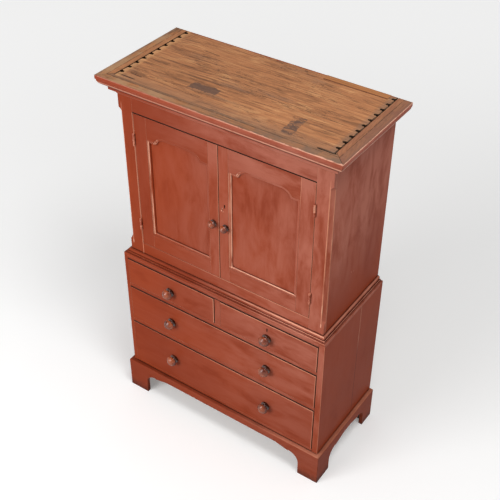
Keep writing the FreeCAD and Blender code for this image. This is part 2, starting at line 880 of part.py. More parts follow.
def drawer(name, x, z, knob_places, knob_rise, tail_count, front_cuts=()):
    """A drawer in the opening between two places across and two heights."""
    left, right = x[0] + size.drawer_left_gap, x[1] - size.drawer_right_gap
    bottom, top = z[0] + size.drawer_running_gap, z[1] - size.drawer_top_gap
    front_back = lower_front + size.drawer_front_thickness
    box_back = back_inside - size.drawer_back_gap
    thickness, groove = size.drawer_side_thickness, size.drawer_groove
    inner_left, inner_right = left + thickness, right - thickness
    floor = bottom + size.drawer_bottom_rise
    floor_top = floor + size.drawer_bottom_thickness
    middle = (bottom + top) / 2 + knob_rise
    side_height = (bottom, top - size.drawer_side_drop)
    side_spans = ((left, inner_left), (inner_right, right))
    tails = [dovetails(span, front_back, side_height, tail_count) for span in side_spans]

    bottom_board = board((inner_left - groove, inner_right + groove),
                         (front_back - groove, box_back), (floor, floor_top))
    holes = [knob_hole(place_x, lower_front, middle, size.drawer_front_thickness)
             for place_x in knob_places]
    front = board((left, right), (lower_front, front_back), (bottom, top))
    keep(f"{name}_front", cut(front, bottom_board, *tails, *holes, *front_cuts))

    sides = [fused(cut(board(span, (front_back, box_back), side_height), bottom_board), tail)
             for span, tail in zip(side_spans, tails)]
    back_board = board((inner_left, inner_right), (box_back - thickness, box_back),
                       (floor_top, top - size.drawer_back_drop))
    keep(f"{name}_box", group(*sides, back_board, bottom_board))

    knobs = [knob(place_x, lower_front, middle, size.drawer_knob_radius,
                  size.drawer_knob_projection, size.drawer_front_thickness)
             for place_x in knob_places]
    keep(f"{name}_knob" if len(knobs) == 1 else f"{name}_knobs",
         knobs[0] if len(knobs) == 1 else group(*knobs))


# Plinth
def plinth_profile():
    thickness, rounding = size.plinth_thickness, size.plinth_round
    return [
        (ZERO, ZERO), (-thickness, ZERO),
        (-thickness, size.plinth_height - rounding, rounding, -1),
        (-(thickness - rounding), size.plinth_height), (ZERO, size.plinth_height),
    ]


def feet_outline(first_foot, last_foot, length, height):
    """What is cut away between two bracket feet: each bracket ends in a nib, past which the edge
    climbs to the height of the arch."""
    bracket, run = size.bracket_radius, size.nib_run
    crown = height - size.bracket_drop
    nib = crown - size.nib_drop
    first, last = first_foot, length - last_foot
    return [
        (first, -size.overrun), (last, -size.overrun),
        (last, crown - bracket, bracket, 1), (last - bracket, crown),
        (last - bracket, nib), (last - bracket - run, height),
        (first + bracket + run, height), (first + bracket, nib),
        (first + bracket, crown, bracket, 1), (first, crown - bracket),
    ]


def plinth_run(run, mitres, x, y, feet, arch, turn=0):
    body = moulded_run(plinth_profile(), size.plinth_height, size.plinth_thickness,
                       run, mitres, x, y, ZERO, turn)
    length = run + size.plinth_thickness * sum(mitres)
    sketch = draw(new_sketch(body, "XZ_Plane"), feet_outline(*feet, length, arch))
    pocket(body, sketch, size.plinth_thickness + size.overrun)
    return body


def rear_foot(side):
    """A board under the back corner, with a curved inner edge."""
    radius, base = size.rear_foot_radius, size.rear_foot_base
    body = new_body(lower_half * side, back)
    outline = [
        (ZERO, ZERO), (ZERO, carcass_bottom), (-(base + radius) * side, carcass_bottom),
        (-(base + radius) * side, carcass_bottom - size.overrun, radius, -side),
        (-base * side, carcass_bottom - size.overrun - radius), (-base * side, ZERO),
    ]
    pad(body, draw(new_sketch(body, "XZ_Plane"), outline), size.plinth_thickness)
    return body


# The upper case
hinge_levels = (door_bottom + size.hinge_from_door_bottom,
                door_top - size.hinge_from_door_top - size.hinge_height)
leaf_sets = {}
for side, name in ((-1, "left"), (1, "right")):
    leaf_sets[name] = keep(f"{name}_door_hinge_leaves", group(
        *[hinge_leaf(side, -side, level, 1, KNUCKLE_COUNT // 2) for level in hinge_levels]))
frame_leaves = keep("hinge_frame_leaves", group(
    *[hinge_leaf(side, side, level, 0, KNUCKLE_COUNT // 2 + 1)
      for side in (-1, 1) for level in hinge_levels]))
keep("hinge_pins", group(*[hinge_pin(side, level) for side in (-1, 1) for level in hinge_levels]))

frame_depth = (upper_front, face_back)
frieze_rail, frieze_tenons = tenoned_rail(
    (-opening_half, opening_half), frame_depth, (opening_top, top_under))
lower_rail, lower_tenons = tenoned_rail(
    (-opening_half, opening_half), frame_depth, (upper_base, opening_bottom))
keep("frieze_rail", frieze_rail)
keep("bottom_face_rail", lower_rail)
keep("face_stile_left", face_stile(-1, frieze_tenons, lower_tenons, frame_leaves))
keep("face_stile_right", face_stile(1, frieze_tenons, lower_tenons, frame_leaves))
keep("upper_side_left", upper_side(-1))
keep("upper_side_right", upper_side(1))
keep("upper_floor_board", board((-upper_inside, upper_inside), (face_back, back_inside),
                                (opening_bottom - size.cupboard_floor_thickness, opening_bottom)))
keep("upper_back_boards", back_boards(-upper_inside, upper_inside, upper_base, top_under))
shelves, bearers = shelves_and_bearers()
keep("cupboard_shelves", shelves)
keep("shelf_bearers", bearers)
stop_bottom = opening_top - size.door_stop_reach
keep("door_stop", board((-opening_half, opening_half),
                        (face_back, face_back + size.door_stop_thickness),
                        (stop_bottom, stop_bottom + size.door_stop_height)))
keep("top_board", top_board())
keep("top_back_batten", board((size.strip_start, strip_end), (back - size.strip_width, back),
                              (top_under, top_face + size.strip_rise)))
keep("cornice_front", cornice_front())
keep("cornice_returns", group(
    cornice_run(size.upper_depth, (True, False), upper_half, upper_front - cornice_projection, 90),
    cornice_run(size.upper_depth, (False, True), -upper_half, back, -90),
))

# The doors and their lock
right_edge = meeting_line + size.meeting_gap / 2
left_edge = meeting_line - size.meeting_gap / 2
key_x, key_z = right_edge + size.keyhole_inset, door_top - size.door_keyhole_drop
knob_level = key_z - size.knob_below_keyhole
lock_x = (right_edge, right_edge + size.lock_width)
lock_y = (door_back - size.lock_thickness, door_back)
lock_z = (key_z - size.lock_drop, key_z - size.lock_drop + size.lock_height)
bolt_middle = door_back - size.lock_thickness / 2
bolt_y = (bolt_middle - size.bolt_thickness / 2, bolt_middle + size.bolt_thickness / 2)
bolt_z = (key_z + size.bolt_rise - size.bolt_width / 2, key_z + size.bolt_rise + size.bolt_width / 2)
channel = board((right_edge - size.overrun, right_edge + size.bolt_length + size.bolt_play),
                spread(bolt_y, size.bolt_play), spread(bolt_z, size.bolt_play))
door_key_tool = keyhole(key_x, key_z, upper_front)
lock_pocket = board((lock_x[0] - size.overrun, lock_x[1]), (lock_y[0], lock_y[1] + size.overrun),
                    lock_z)
mortise = board((left_edge - size.bolt_travel - size.mortise_play, left_edge + size.overrun),
                spread(bolt_y, size.mortise_play), spread(bolt_z, size.mortise_play))
left_knob_x, right_knob_x = left_edge - size.left_knob_inset, right_edge + size.right_knob_inset
keep("door_lock_case", lock_case(lock_x, lock_y, lock_z, channel, door_key_tool))
keep("door_lock_bolt", board((right_edge, right_edge + size.bolt_length), bolt_y, bolt_z))
door(-1, "left", leaf_sets["left"],
     [knob_hole(left_knob_x, upper_front, knob_level, size.face_thickness), mortise])
door(1, "right", leaf_sets["right"],
     [knob_hole(right_knob_x, upper_front, knob_level, size.face_thickness),
      lock_pocket, door_key_tool])
for name, place_x in (("left", left_knob_x), ("right", right_knob_x)):
    keep(f"{name}_door_knob", knob(place_x, upper_front, knob_level, size.door_knob_radius,
                                   size.door_knob_projection, door_back - upper_front))

# The lower case
rail_2_top = lower_ceiling - size.top_drawer_opening
rail_2 = rail_2_top - size.rail_thickness
rail_1_top = rail_2 - size.middle_drawer_opening
rail_1 = rail_1_top - size.rail_thickness
divider_left = meeting_line - size.divider_width / 2
divider_right = meeting_line + size.divider_width / 2
rail_back = lower_front + size.rail_depth
full_depth = (lower_front, back)
rail_span = (lower_left, lower_right)
short_spans = ((lower_left, divider_left), (divider_right, lower_right))
knob_columns = [(span[0] + span[1]) / 2 - size.knob_column_shift for span in short_spans]

for name, span in (("left", (-lower_half, lower_left)), ("right", (lower_right, lower_half))):
    keep(f"lower_side_{name}", board(span, full_depth, (carcass_bottom, size.lower_height)))
keep("lower_bottom_board", board(rail_span, (lower_front, back_inside),
                                 (size.lower_bottom_top - size.lower_bottom_thickness,
                                  size.lower_bottom_top)))
keep("lower_back_boards", back_boards(
    lower_left, lower_right, size.lower_bottom_top - size.lower_bottom_thickness, lower_ceiling))
keep("drawer_rails", group(*[board(rail_span, (lower_front, rail_back), span)
                             for span in ((rail_1, rail_1_top), (rail_2, rail_2_top))]))
keep("short_drawer_divider", board((divider_left, divider_right), (lower_front, rail_back),
                                   (rail_2_top, lower_ceiling)))
runners = []
for span in ((rail_1, rail_1_top), (rail_2, rail_2_top)):
    for x in ((lower_left, lower_left + size.runner_width),
              (lower_right - size.runner_width, lower_right)):
        runners.append(board(x, (rail_back, back_inside), span))
runners.append(board((divider_left - size.runner_width, divider_right + size.runner_width),
                     (rail_back, back_inside), (rail_2, rail_2_top)))
runners.append(board((divider_left, divider_right), (rail_back, back_inside),
                     (rail_2_top, rail_2_top + size.guide_height)))
keep("drawer_runners", group(*runners))

stop_front = lower_front + size.drawer_front_thickness + size.seat_gap
stops = []
for span, level in ((rail_span, size.lower_bottom_top), (rail_span, rail_1_top),
                    (short_spans[0], rail_2_top), (short_spans[1], rail_2_top)):
    for x in (span[0] + size.stop_inset, span[1] - size.stop_inset - size.stop_width):
        stops.append(board((x, x + size.stop_width), (stop_front, stop_front + size.stop_length),
                           (level, level + size.stop_thickness)))
keep("drawer_stops", group(*stops))
keep("waist_moulding", waist_moulding())

# The drawers, and the lock of the right short one
drawer_top = lower_ceiling - size.drawer_top_gap
drawer_front_back = lower_front + size.drawer_front_thickness
drawer_key_z = drawer_top - size.drawer_keyhole_drop
half_case, half_bolt = size.drawer_lock_width / 2, size.bolt_width / 2
drawer_lock_x = (knob_columns[1] - half_case, knob_columns[1] + half_case)
drawer_lock_y = (drawer_front_back - size.lock_thickness, drawer_front_back)
drawer_lock_z = (drawer_top - size.drawer_lock_height, drawer_top)
drawer_bolt_x = (knob_columns[1] - half_bolt, knob_columns[1] + half_bolt)
drawer_bolt_middle = drawer_front_back - size.lock_thickness / 2
drawer_bolt_y = (drawer_bolt_middle - size.bolt_thickness / 2,
                 drawer_bolt_middle + size.bolt_thickness / 2)
drawer_bolt_z = (drawer_top - size.drawer_bolt_length, drawer_top)
drawer_channel = board(spread(drawer_bolt_x, size.bolt_play), spread(drawer_bolt_y, size.bolt_play),
                       (drawer_bolt_z[0] - size.bolt_play, drawer_top + size.overrun))
drawer_key_tool = keyhole(knob_columns[1], drawer_key_z, lower_front)
drawer_lock_pocket = board(drawer_lock_x, (drawer_lock_y[0], drawer_lock_y[1] + size.overrun),
                           (drawer_lock_z[0], drawer_top + size.overrun))
strike_height = size.bolt_travel - size.drawer_top_gap + size.mortise_play
strike = board(spread(drawer_bolt_x, size.mortise_play), spread(drawer_bolt_y, size.mortise_play),
               (lower_ceiling - size.overrun, lower_ceiling + strike_height))
keep("drawer_lock_case", lock_case(drawer_lock_x, drawer_lock_y, drawer_lock_z,
                                   drawer_channel, drawer_key_tool))
keep("drawer_lock_bolt", board(drawer_bolt_x, drawer_bolt_y, drawer_bolt_z))
keep("lower_top_board", cut(board(rail_span, full_depth, (lower_ceiling, size.lower_height)), strike))

drawer("left_short_drawer", short_spans[0], (rail_2_top, lower_ceiling), knob_columns[:1],
       size.short_knob_rise, SHORT_TAIL_COUNT)
drawer("right_short_drawer", short_spans[1], (rail_2_top, lower_ceiling), knob_columns[1:],
       size.short_knob_rise, SHORT_TAIL_COUNT, (drawer_lock_pocket, drawer_key_tool))
drawer("upper_long_drawer", rail_span, (rail_1_top, rail_2), knob_columns,
       size.middle_knob_rise, MIDDLE_TAIL_COUNT)
drawer("lower_long_drawer", rail_span, (size.lower_bottom_top, rail_1), knob_columns,
       size.bottom_knob_rise, BOTTOM_TAIL_COUNT)

# The plinth and the feet
lower_run = lower_half * 2
lower_depth = back - lower_front
keep("plinth_front", plinth_run(
    lower_run, (True, True), -(lower_half + size.plinth_thickness), lower_front,
    (size.foot_width, size.foot_width), size.arch_height))
keep("plinth_sides", group(
    plinth_run(lower_depth, (True, False), lower_half, lower_front - size.plinth_thickness,
               (size.foot_width, size.rear_foot_width), size.side_arch_height, 90),
    plinth_run(lower_depth, (False, True), -lower_half, back,
               (size.rear_foot_width, size.foot_width), size.side_arch_height, -90),
))
keep("rear_feet", group(rear_foot(-1), rear_foot(1)))
blocks = []
for side in (-1, 1):
    x = ordered(lower_half * side, (lower_half - size.foot_block) * side)
    rear = back - size.plinth_thickness
    for y in ((lower_front, lower_front + size.foot_block), (rear - size.foot_block, rear)):
        blocks.append(board(x, y, (ZERO, carcass_bottom)))
keep("foot_blocks", group(*blocks))

# Checks, and the files
document.recompute()
for thing in document.Objects:
    if any(state in ("Invalid", "Error") for state in thing.State):
        raise RuntimeError(f"{thing.Name} ({thing.Label}) is {thing.State}")
os.makedirs("parts", exist_ok=True)
for name, thing in nodes.items():
    if thing.Shape.isNull() or not thing.Shape.isValid():
        raise RuntimeError(f"{name} has no sound shape")
    thing.Shape.exportStep(f"parts/{name}.step")
print(f"{len(nodes)} sub-parts written")
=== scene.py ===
import math
from collections import namedtuple

import bmesh
import bpy
from mathutils import Matrix, Vector


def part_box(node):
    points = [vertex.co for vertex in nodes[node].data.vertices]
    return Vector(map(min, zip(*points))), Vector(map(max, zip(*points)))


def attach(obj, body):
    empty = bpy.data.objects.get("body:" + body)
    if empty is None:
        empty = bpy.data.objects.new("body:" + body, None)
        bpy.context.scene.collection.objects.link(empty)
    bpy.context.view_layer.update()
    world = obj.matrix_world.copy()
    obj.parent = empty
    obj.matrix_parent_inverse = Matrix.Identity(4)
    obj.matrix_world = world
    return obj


# Housekeepers cupboard: finishes, small iron work, floor, light and camera. Lengths in metres.
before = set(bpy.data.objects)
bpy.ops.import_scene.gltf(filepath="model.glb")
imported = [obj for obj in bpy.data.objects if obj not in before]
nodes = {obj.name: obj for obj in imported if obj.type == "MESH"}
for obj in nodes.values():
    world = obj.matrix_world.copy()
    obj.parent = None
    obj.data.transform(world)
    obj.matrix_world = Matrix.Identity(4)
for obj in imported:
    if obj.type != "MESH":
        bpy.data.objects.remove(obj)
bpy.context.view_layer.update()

MM = 0.001

# Colours, as linear light
PAINT = (0.300, 0.044, 0.0115)
PAINT_DEEP = (0.245, 0.033, 0.0085)
PAINT_DARK = (0.17, 0.020, 0.006)
PAINT_ROSE = (0.46, 0.150, 0.100)
# Worn paint and chip colours, which also serve as painted highlights on arrises and rounds
WORN_PAINT_AND_HIGHLIGHT = (0.72, 0.305, 0.190)
CHIP_AND_HIGHLIGHT = (0.90, 0.50, 0.35)
# Grime, which also serves as painted shade in crevices, quirks and on shaded faces
GRIME_AND_SHADE = (0.034, 0.009, 0.006)
# Painted shade, near black, for gaps, seams and keyholes
GAP_SHADE = (0.013, 0.004, 0.003)
TOP_WOOD = (0.445, 0.180, 0.073)
TOP_WOOD_DARK = (0.125, 0.053, 0.024)
TOP_WOOD_LIGHT = (0.70, 0.365, 0.158)
TOP_WOOD_GREY = (0.225, 0.130, 0.084)
TOP_STAIN = (0.100, 0.058, 0.045)
# Dark of splits, which also serves as painted shade in sockets and recesses
SPLIT_AND_SHADE = (0.018, 0.010, 0.006)
CORNICE_STRIP = (0.42, 0.185, 0.090)
CORNICE_PALE = (0.52, 0.300, 0.155)
CORNICE_GREY = (0.170, 0.112, 0.082)
CORNICE_RED = (0.24, 0.095, 0.060)
NEW_PINE = (0.42, 0.160, 0.050)
NEW_PINE_EDGE = (0.095, 0.024, 0.010)
PINE = (0.50, 0.29, 0.135)
PINE_DARK = (0.25, 0.122, 0.048)
PINE_LIGHT = (0.62, 0.40, 0.215)
KNOT = (0.10, 0.035, 0.014)
KNOB_DARK = (0.095, 0.015, 0.005)
KNOB_RED = (0.310, 0.064, 0.016)
# Painted shade in the knobs' hollows
KNOB_HOLLOW_SHADE = (0.010, 0.003, 0.002)
IRON = (0.050, 0.043, 0.038)
IRON_BRIGHT = (0.20, 0.17, 0.15)
RUST = (0.17, 0.060, 0.022)
FLOOR = (0.86, 0.86, 0.855)
FLOOR_LIFT = (0.20, 0.20, 0.20)
FLOOR_LIFT_FAR = (0.46, 0.46, 0.46)
FLOOR_BOUNCE = (0.42, 0.37, 0.33)
BACKDROP = (1.0, 1.0, 1.0)
CEILING = (0.22, 0.21, 0.21)
BLACK = (0.0, 0.0, 0.0)

# Sizes and places of the cabinet work that the marks of wear follow
CHAMFER = 16 * MM
CHAMFER_FOOT, CHAMFER_HEAD = 1.000, 1.755
MOULDING_WIDTH = 14 * MM
LEFT_DOOR_LINE, RIGHT_DOOR_LINE = 8 * MM, 12 * MM
MOULDING_SHOULDER = 40 * MM
HINGE_STILE = 70 * MM
TOP_RAIL_FOOT = 1.600
DRAWER_TOP_GAP = 4.5 * MM
DOOR_KEYHOLE, DOOR_KEYHOLE_DROP = (0.02025, 1.4365), 11 * MM
DRAWER_KEYHOLE, DRAWER_KEYHOLE_DROP = (0.2715, 0.8635), 17 * MM
OVOLO_CROWN_DROP = 33 * MM
OVOLO_FOOT_DROP = 52 * MM
CORNICE_SEAM = 38 * MM
END_JOINT_START, END_JOINT_FULL = 0.508, 0.530
FRONT_SLIT_START = 0.466
FRONT_SLIT_END = (0.556, -0.2265)
SIDE_SPLIT_FROM_BACK = 202 * MM
SIDE_SPLIT_FOOT, SIDE_SPLIT_FULL = 0.60, 0.72

# Spots beside the cupboard's keyhole: x, z, size in millimetres, colour and strength
KEYHOLE_SPOTS = (
    (0.0065, 1.412, 7.5, GRIME_AND_SHADE, 0.35), (0.0035, 1.404, 3.2, CHIP_AND_HIGHLIGHT, 0.75),
    (0.0075, 1.417, 2.2, CHIP_AND_HIGHLIGHT, 0.75), (0.0125, 1.401, 1.8, CHIP_AND_HIGHLIGHT, 0.75))
# Knocks low down on the sides of the upper case: y, z and size in millimetres
SIDE_KNOCKS = ((0.005, 1.165, 4.5), (0.024, 1.158, 3.0), (0.160, 1.330, 2.5))
# Stains on the top: x, distance from the back, half length, half width and turn in degrees
FIRST_STAIN = (-0.154, 0.393, 0.068, 0.024, 2)
SECOND_STAIN = (0.312, 0.432, 0.026, 0.066, 4)
# Splits in the top: x and distance from the back or front at both ends, and width in millimetres
SPLITS_FROM_BACK = (
    (0.18, 0.300, 0.50, 0.318, 1.0), (-0.50, 0.205, -0.18, 0.190, 1.1),
    (-0.36, 0.115, -0.27, 0.120, 2.0), (-0.52, 0.455, -0.10, 0.470, 1.2),
    (0.05, 0.370, 0.21, 0.352, 1.0))
SPLITS_FROM_FRONT = ((-0.56, 0.020, -0.44, 0.016, 4.0), (-0.50, 0.052, -0.43, 0.048, 2.6))

MIX_FACTOR, MIX_FIRST, MIX_SECOND, MIX_RESULT = 0, 6, 7, 2


class Value:
    """A number that varies over a surface: an output socket with arithmetic."""

    def __init__(self, shader, socket):
        self.shader = shader
        self.socket = socket

    def maths(self, operation, *others):
        inputs = dict(enumerate((self, *others)))
        node = self.shader.node("ShaderNodeMath", {"operation": operation}, inputs)
        return Value(self.shader, node.outputs[0])

    def reverse(self, operation, other):
        node = self.shader.node("ShaderNodeMath", {"operation": operation}, {0: other, 1: self})
        return Value(self.shader, node.outputs[0])

    def __add__(self, other):
        return self.maths("ADD", other)

    def __radd__(self, other):
        return self.maths("ADD", other)

    def __sub__(self, other):
        return self.maths("SUBTRACT", other)

    def __rsub__(self, other):
        return self.reverse("SUBTRACT", other)

    def __mul__(self, other):
        return self.maths("MULTIPLY", other)

    def __rmul__(self, other):
        return self.maths("MULTIPLY", other)

    def __truediv__(self, other):
        return self.maths("DIVIDE", other)

    def __neg__(self):
        return self.maths("MULTIPLY", -1)

    def __abs__(self):
        return self.maths("ABSOLUTE")

    def least(self, other):
        return self.maths("MINIMUM", other)

    def most(self, other):
        return self.maths("MAXIMUM", other)

    def sine(self):
        return self.maths("SINE")

    def rise(self, low, high):
        """0 under low and 1 over high, or the other way round where low is the larger."""
        if low > high:
            return 1 - self.rise(high, low)
        settings = {"interpolation_type": "SMOOTHSTEP"}
        inputs = {"Value": self, "From Min": low, "From Max": high}
        node = self.shader.node("ShaderNodeMapRange", settings, inputs)
        return Value(self.shader, node.outputs[0])

    def near(self, place, outer, inner):
        """1 within the inner distance of a place, 0 beyond the outer one."""
        return abs(self - place).rise(outer, inner)


class Nodes:
    """The node calls that a material's or the world's tree is written with."""

    def __init__(self, tree):
        self.tree = tree
        tree.nodes.clear()

    def node(self, kind, settings=None, inputs=None):
        made = self.tree.nodes.new(kind)
        for name, value in (settings or {}).items():
            setattr(made, name, value)
        for name, value in (inputs or {}).items():
            socket = made.inputs[name]
            if isinstance(value, Value):
                self.tree.links.new(value.socket, socket)
            elif isinstance(value, bpy.types.NodeSocket):
                self.tree.links.new(value, socket)
            elif isinstance(value, tuple) and socket.type == "RGBA":
                socket.default_value = (*value, 1)
            else:
                socket.default_value = value
        return made

    def mix(self, factor, first, second):
        """A colour between two others."""
        made = self.node("ShaderNodeMix", {"data_type": "RGBA"},
                         {MIX_FACTOR: factor, MIX_FIRST: first, MIX_SECOND: second})
        return made.outputs[MIX_RESULT]

    def over(self, colour, *layers):
        """One colour after another laid over the first, each by its own mask."""
        for mask, laid in layers:
            colour = self.mix(mask, colour, laid)
        return colour

    def shown(self):
        """1 for what the camera, gloss and glass see, 0 for the light that bounces about."""
        path = self.node("ShaderNodeLightPath")
        camera, glossy, transmission = (
            Value(self, path.outputs[f"Is {kind} Ray"])
            for kind in ("Camera", "Glossy", "Transmission"))
        return camera.most(glossy).most(transmission)


class Shader(Nodes):
    """One material."""

    def __init__(self, name):
        self.material = bpy.data.materials.new(name)
        self.material.use_nodes = True
        super().__init__(self.material.node_tree)
        coordinates = self.node("ShaderNodeTexCoord")
        self.place = coordinates.outputs["Object"]
        split = self.node("ShaderNodeSeparateXYZ", {}, {0: self.place})
        self.x, self.y, self.z = (Value(self, split.outputs[index]) for index in range(3))
        self.geometry = self.node("ShaderNodeNewGeometry")
        facing = self.node("ShaderNodeSeparateXYZ", {}, {0: self.geometry.outputs["Normal"]})
        self.facing = [Value(self, facing.outputs[index]) for index in range(3)]

    def noise(self, scales, seed=0.0, detail=4, roughness=0.55, distortion=0.0):
        """Noise with its own scale along each axis, so that it can run with the grain."""
        scaled = self.node("ShaderNodeVectorMath", {"operation": "MULTIPLY_ADD"},
                           {0: self.place, 1: scales, 2: (seed, seed * 1.7, seed * 0.6)})
        made = self.node("ShaderNodeTexNoise", {}, {
            "Vector": scaled.outputs[0], "Scale": 1.0, "Detail": detail,
            "Roughness": roughness, "Distortion": distortion})
        return Value(self, made.outputs[0])

    def rounded(self, radius):
        """The normal, rounded near the edges."""
        return self.node("ShaderNodeBevel", {"samples": 8}, {"Radius": radius}).outputs[0]

    def arris(self, rounded):
        """How strongly a rounded normal turns away from the face: 1 on an edge, 0 on a flat."""
        turned = self.node("ShaderNodeVectorMath", {"operation": "DOT_PRODUCT"},
                           {0: rounded, 1: self.geometry.outputs["Normal"]})
        return (1 - Value(self, turned.outputs["Value"])).rise(0.004, 0.11)

    def crevice(self, distance):
        """1 in gaps and inner corners, 0 in the open."""
        made = self.node("ShaderNodeAmbientOcclusion", {"samples": 6}, {"Distance": distance})
        return 1 - Value(self, made.outputs["AO"])

    def bump(self, height, depth, normal=None):
        inputs = {"Height": height, "Distance": depth, "Strength": 1.0}
        if normal is not None:
            inputs["Normal"] = normal
        return self.node("ShaderNodeBump", {}, inputs).outputs[0]

    def finish(self, colour, roughness, normal, **constants):
        """Ends the material in one principled shader; the constants go to its own sockets."""
        inputs = {"Base Color": colour, "Roughness": roughness, "Normal": normal}
        for name, value in constants.items():
            inputs[name.replace("_", " ")] = value
        surface = self.node("ShaderNodeBsdfPrincipled", {}, inputs)
        self.node("ShaderNodeOutputMaterial", {}, {"Surface": surface.outputs[0]})
        return self.material


def along(axis, with_grain, across):
    """Noise scales that stretch a pattern along one axis."""
    scales = [across, across, across]
    scales["xyz".index(axis)] = with_grain
    return tuple(scales)


# Bare wood
Wood = namedtuple("Wood", "colour relief fibres")


def knots(shader, grain, seed, spacing=0.21):
    """Round dark knots scattered over a board, one to a cell and not in each."""
    run = getattr(shader, grain)
    first, second = [getattr(shader, axis) for axis in "xyz" if axis != grain]
    flat = shader.node("ShaderNodeCombineXYZ", {}, {
        "X": run / (spacing * 1.9) + seed * 3.1, "Y": (first + second) / spacing + seed * 1.3})
    cells = shader.node("ShaderNodeTexVoronoi", {"voronoi_dimensions": "2D"},
                        {"Vector": flat.outputs[0], "Scale": 1.0})
    lot = shader.node("ShaderNodeSeparateColor", {}, {0: cells.outputs["Color"]})
    chosen = Value(shader, lot.outputs[0]).rise(0.50, 0.56)
    away = Value(shader, cells.outputs["Distance"])
    return away.rise(0.062, 0.034) * chosen


def wood_layers(shader, grain, seed, base, dark, light, ring_width=0.016):
    """Grain that runs along one axis: growth rings, fibres and pores."""
    across = {"x": (0.9, 7, 7), "y": (7, 0.9, 7), "z": (7, 7, 0.9)}[grain]
    drift = shader.noise(across, seed, 3, 0.5)
    span = shader.y + shader.z * 0.4 if grain == "x" else shader.x + shader.y * 0.4
    rings = ((span / ring_width + drift * 9) * math.tau).sine()
    fibres = shader.noise(along(grain, 5, 170), seed + 5, 6, 0.7)
    pores = shader.noise(along(grain, 22, 620), seed + 9, 3, 0.6)
    blotches = shader.noise(along(grain, 3, 8), seed + 13, 4)
    darker = shader.mix(blotches.rise(0.3, 0.7), base, dark)
    colour = shader.over(
        base,
        (rings.rise(-0.2, 1.0) * 0.42, darker),
        (fibres.rise(0.50, 0.72) * 0.62, light),
        (fibres.rise(0.48, 0.30) * 0.72, dark),
        (pores.rise(0.42, 0.25) * 0.55, dark))
    return Wood(colour, fibres * 0.6 + pores * 0.25 + rings * 0.08, fibres)


def plain_pine(shader, grain, seed):
    return wood_layers(shader, grain, seed, PINE, PINE_DARK, PINE_LIGHT)


def pine(name, grain, seed):
    """Plain unpainted pine of the inside, with its knots."""
    shader = Shader(f"pine_{name}")
    wood = plain_pine(shader, grain, seed)
    colour = shader.mix(knots(shader, grain, seed) * 0.85, wood.colour, KNOT)
    # Dust and painted shade: corners and joints of the inside darken by ambient occlusion
    dust_and_shade = shader.crevice(30 * MM)
    colour = shader.mix(dust_and_shade.rise(0.2, 0.9) * 0.65, colour, PINE_DARK)
    normal = shader.bump(wood.relief, 0.30 * MM, shader.rounded(1.2 * MM))
    return shader.finish(colour, 0.62 + wood.fibres * 0.15, normal, Specular_IOR_Level=0.3)


# Painted wood
def paint_layers(shader, grain, seed, fade_and_sheen, wear, dirt_and_shade_amount=1.0):
    """Brick red paint: its colour, its roughness and its normal. Its pale rosy part is fading and
    painted sheen.
    """
    broad = shader.noise(along(grain, 1.1, 2.4), seed, 3)
    clouds = shader.noise((7, 7, 7), seed + 3, 5)
    mottle = shader.noise(along(grain, 4.5, 13), seed + 21, 5, 0.62, 0.4)
    streaks = shader.noise(along(grain, 3, 80), seed + 7, 5, 0.65)
    fine = shader.noise(along(grain, 30, 420), seed + 11, 3)
    # The rosy paleness is partly fading and partly a painted sheen
    faded_and_sheen = (fade_and_sheen + 0.05) * (0.10 + mottle.rise(0.30, 0.68) * 1.05 + clouds * 0.7)
    dust_and_shade = shader.facing[2].rise(0.35, 0.9)
    colour = shader.over(
        PAINT_DEEP,
        (broad.rise(0.34, 0.66), PAINT),
        (faded_and_sheen.least(1), PAINT_ROSE),
        (streaks.rise(0.52, 0.80) * 0.16, PAINT_ROSE),
        (streaks.rise(0.46, 0.22) * 0.30, PAINT_DEEP),
        (mottle.rise(0.46, 0.30) * 0.22, PAINT_DARK),
        (dust_and_shade * 0.30, GRIME_AND_SHADE))

    rounded = shader.rounded(4.2 * MM)
    edge = shader.arris(rounded)
    breaks = shader.noise(along(grain, 7, 26), seed + 17, 4, 0.6)
    ragged = shader.noise((95, 95, 95), seed + 19, 4, 0.65)
    worn = (edge * wear * breaks.rise(0.28, 0.62) * (0.55 + ragged * 0.9)).least(1)
    chips = edge.rise(0.25, 0.6) * wear * (ragged + breaks * 0.5).rise(0.86, 0.93)
    # Dirt and painted shade: crevices and inner corners darken by ambient occlusion
    dirt_and_shade = (shader.crevice(9 * MM) * 1.15 + (clouds - 0.5) * 0.25).rise(0.34, 0.90)
    colour = shader.over(
        colour,
        (dirt_and_shade * (0.85 * dirt_and_shade_amount), GRIME_AND_SHADE),
        (worn * (1 - dirt_and_shade) * 0.90, WORN_PAINT_AND_HIGHLIGHT),
        (chips.least(1) * 0.85, CHIP_AND_HIGHLIGHT))
    roughness = 0.40 + clouds * 0.10 + streaks * 0.08 + dirt_and_shade * 0.15
    relief = streaks * 0.6 + fine * 0.25 + ragged * 0.15
    normal = shader.bump(relief, 0.25 * MM, rounded)
    return colour, roughness, normal


def front_fade_and_sheen(shader, strength):
    """Fading and painted sheen: the front is paler towards its right, and more high up than low
    down.
    """
    across = shader.x.rise(-0.55, 0.55)
    upward = 0.28 + shader.z.rise(0.2, 0.95) * 0.30 + shader.z.rise(1.60, 1.80) * 0.42
    return across * upward * strength


def side_fade_and_sheen(shader):
    """Fading and painted light: the sides of the upper case are paler high up only."""
    return shader.z.rise(1.0, 1.5) * 0.72


def facing_front(shader):
    return shader.facing[1].rise(-0.35, -0.6)


def fade_and_sheen_of(shader, name, strength):
    """A piece takes the front's fading and painted sheen, and a side piece on its front edge
    alone.
    """
    front = front_fade_and_sheen(shader, strength)
    return facing_front(shader) * front if "side" in name else front


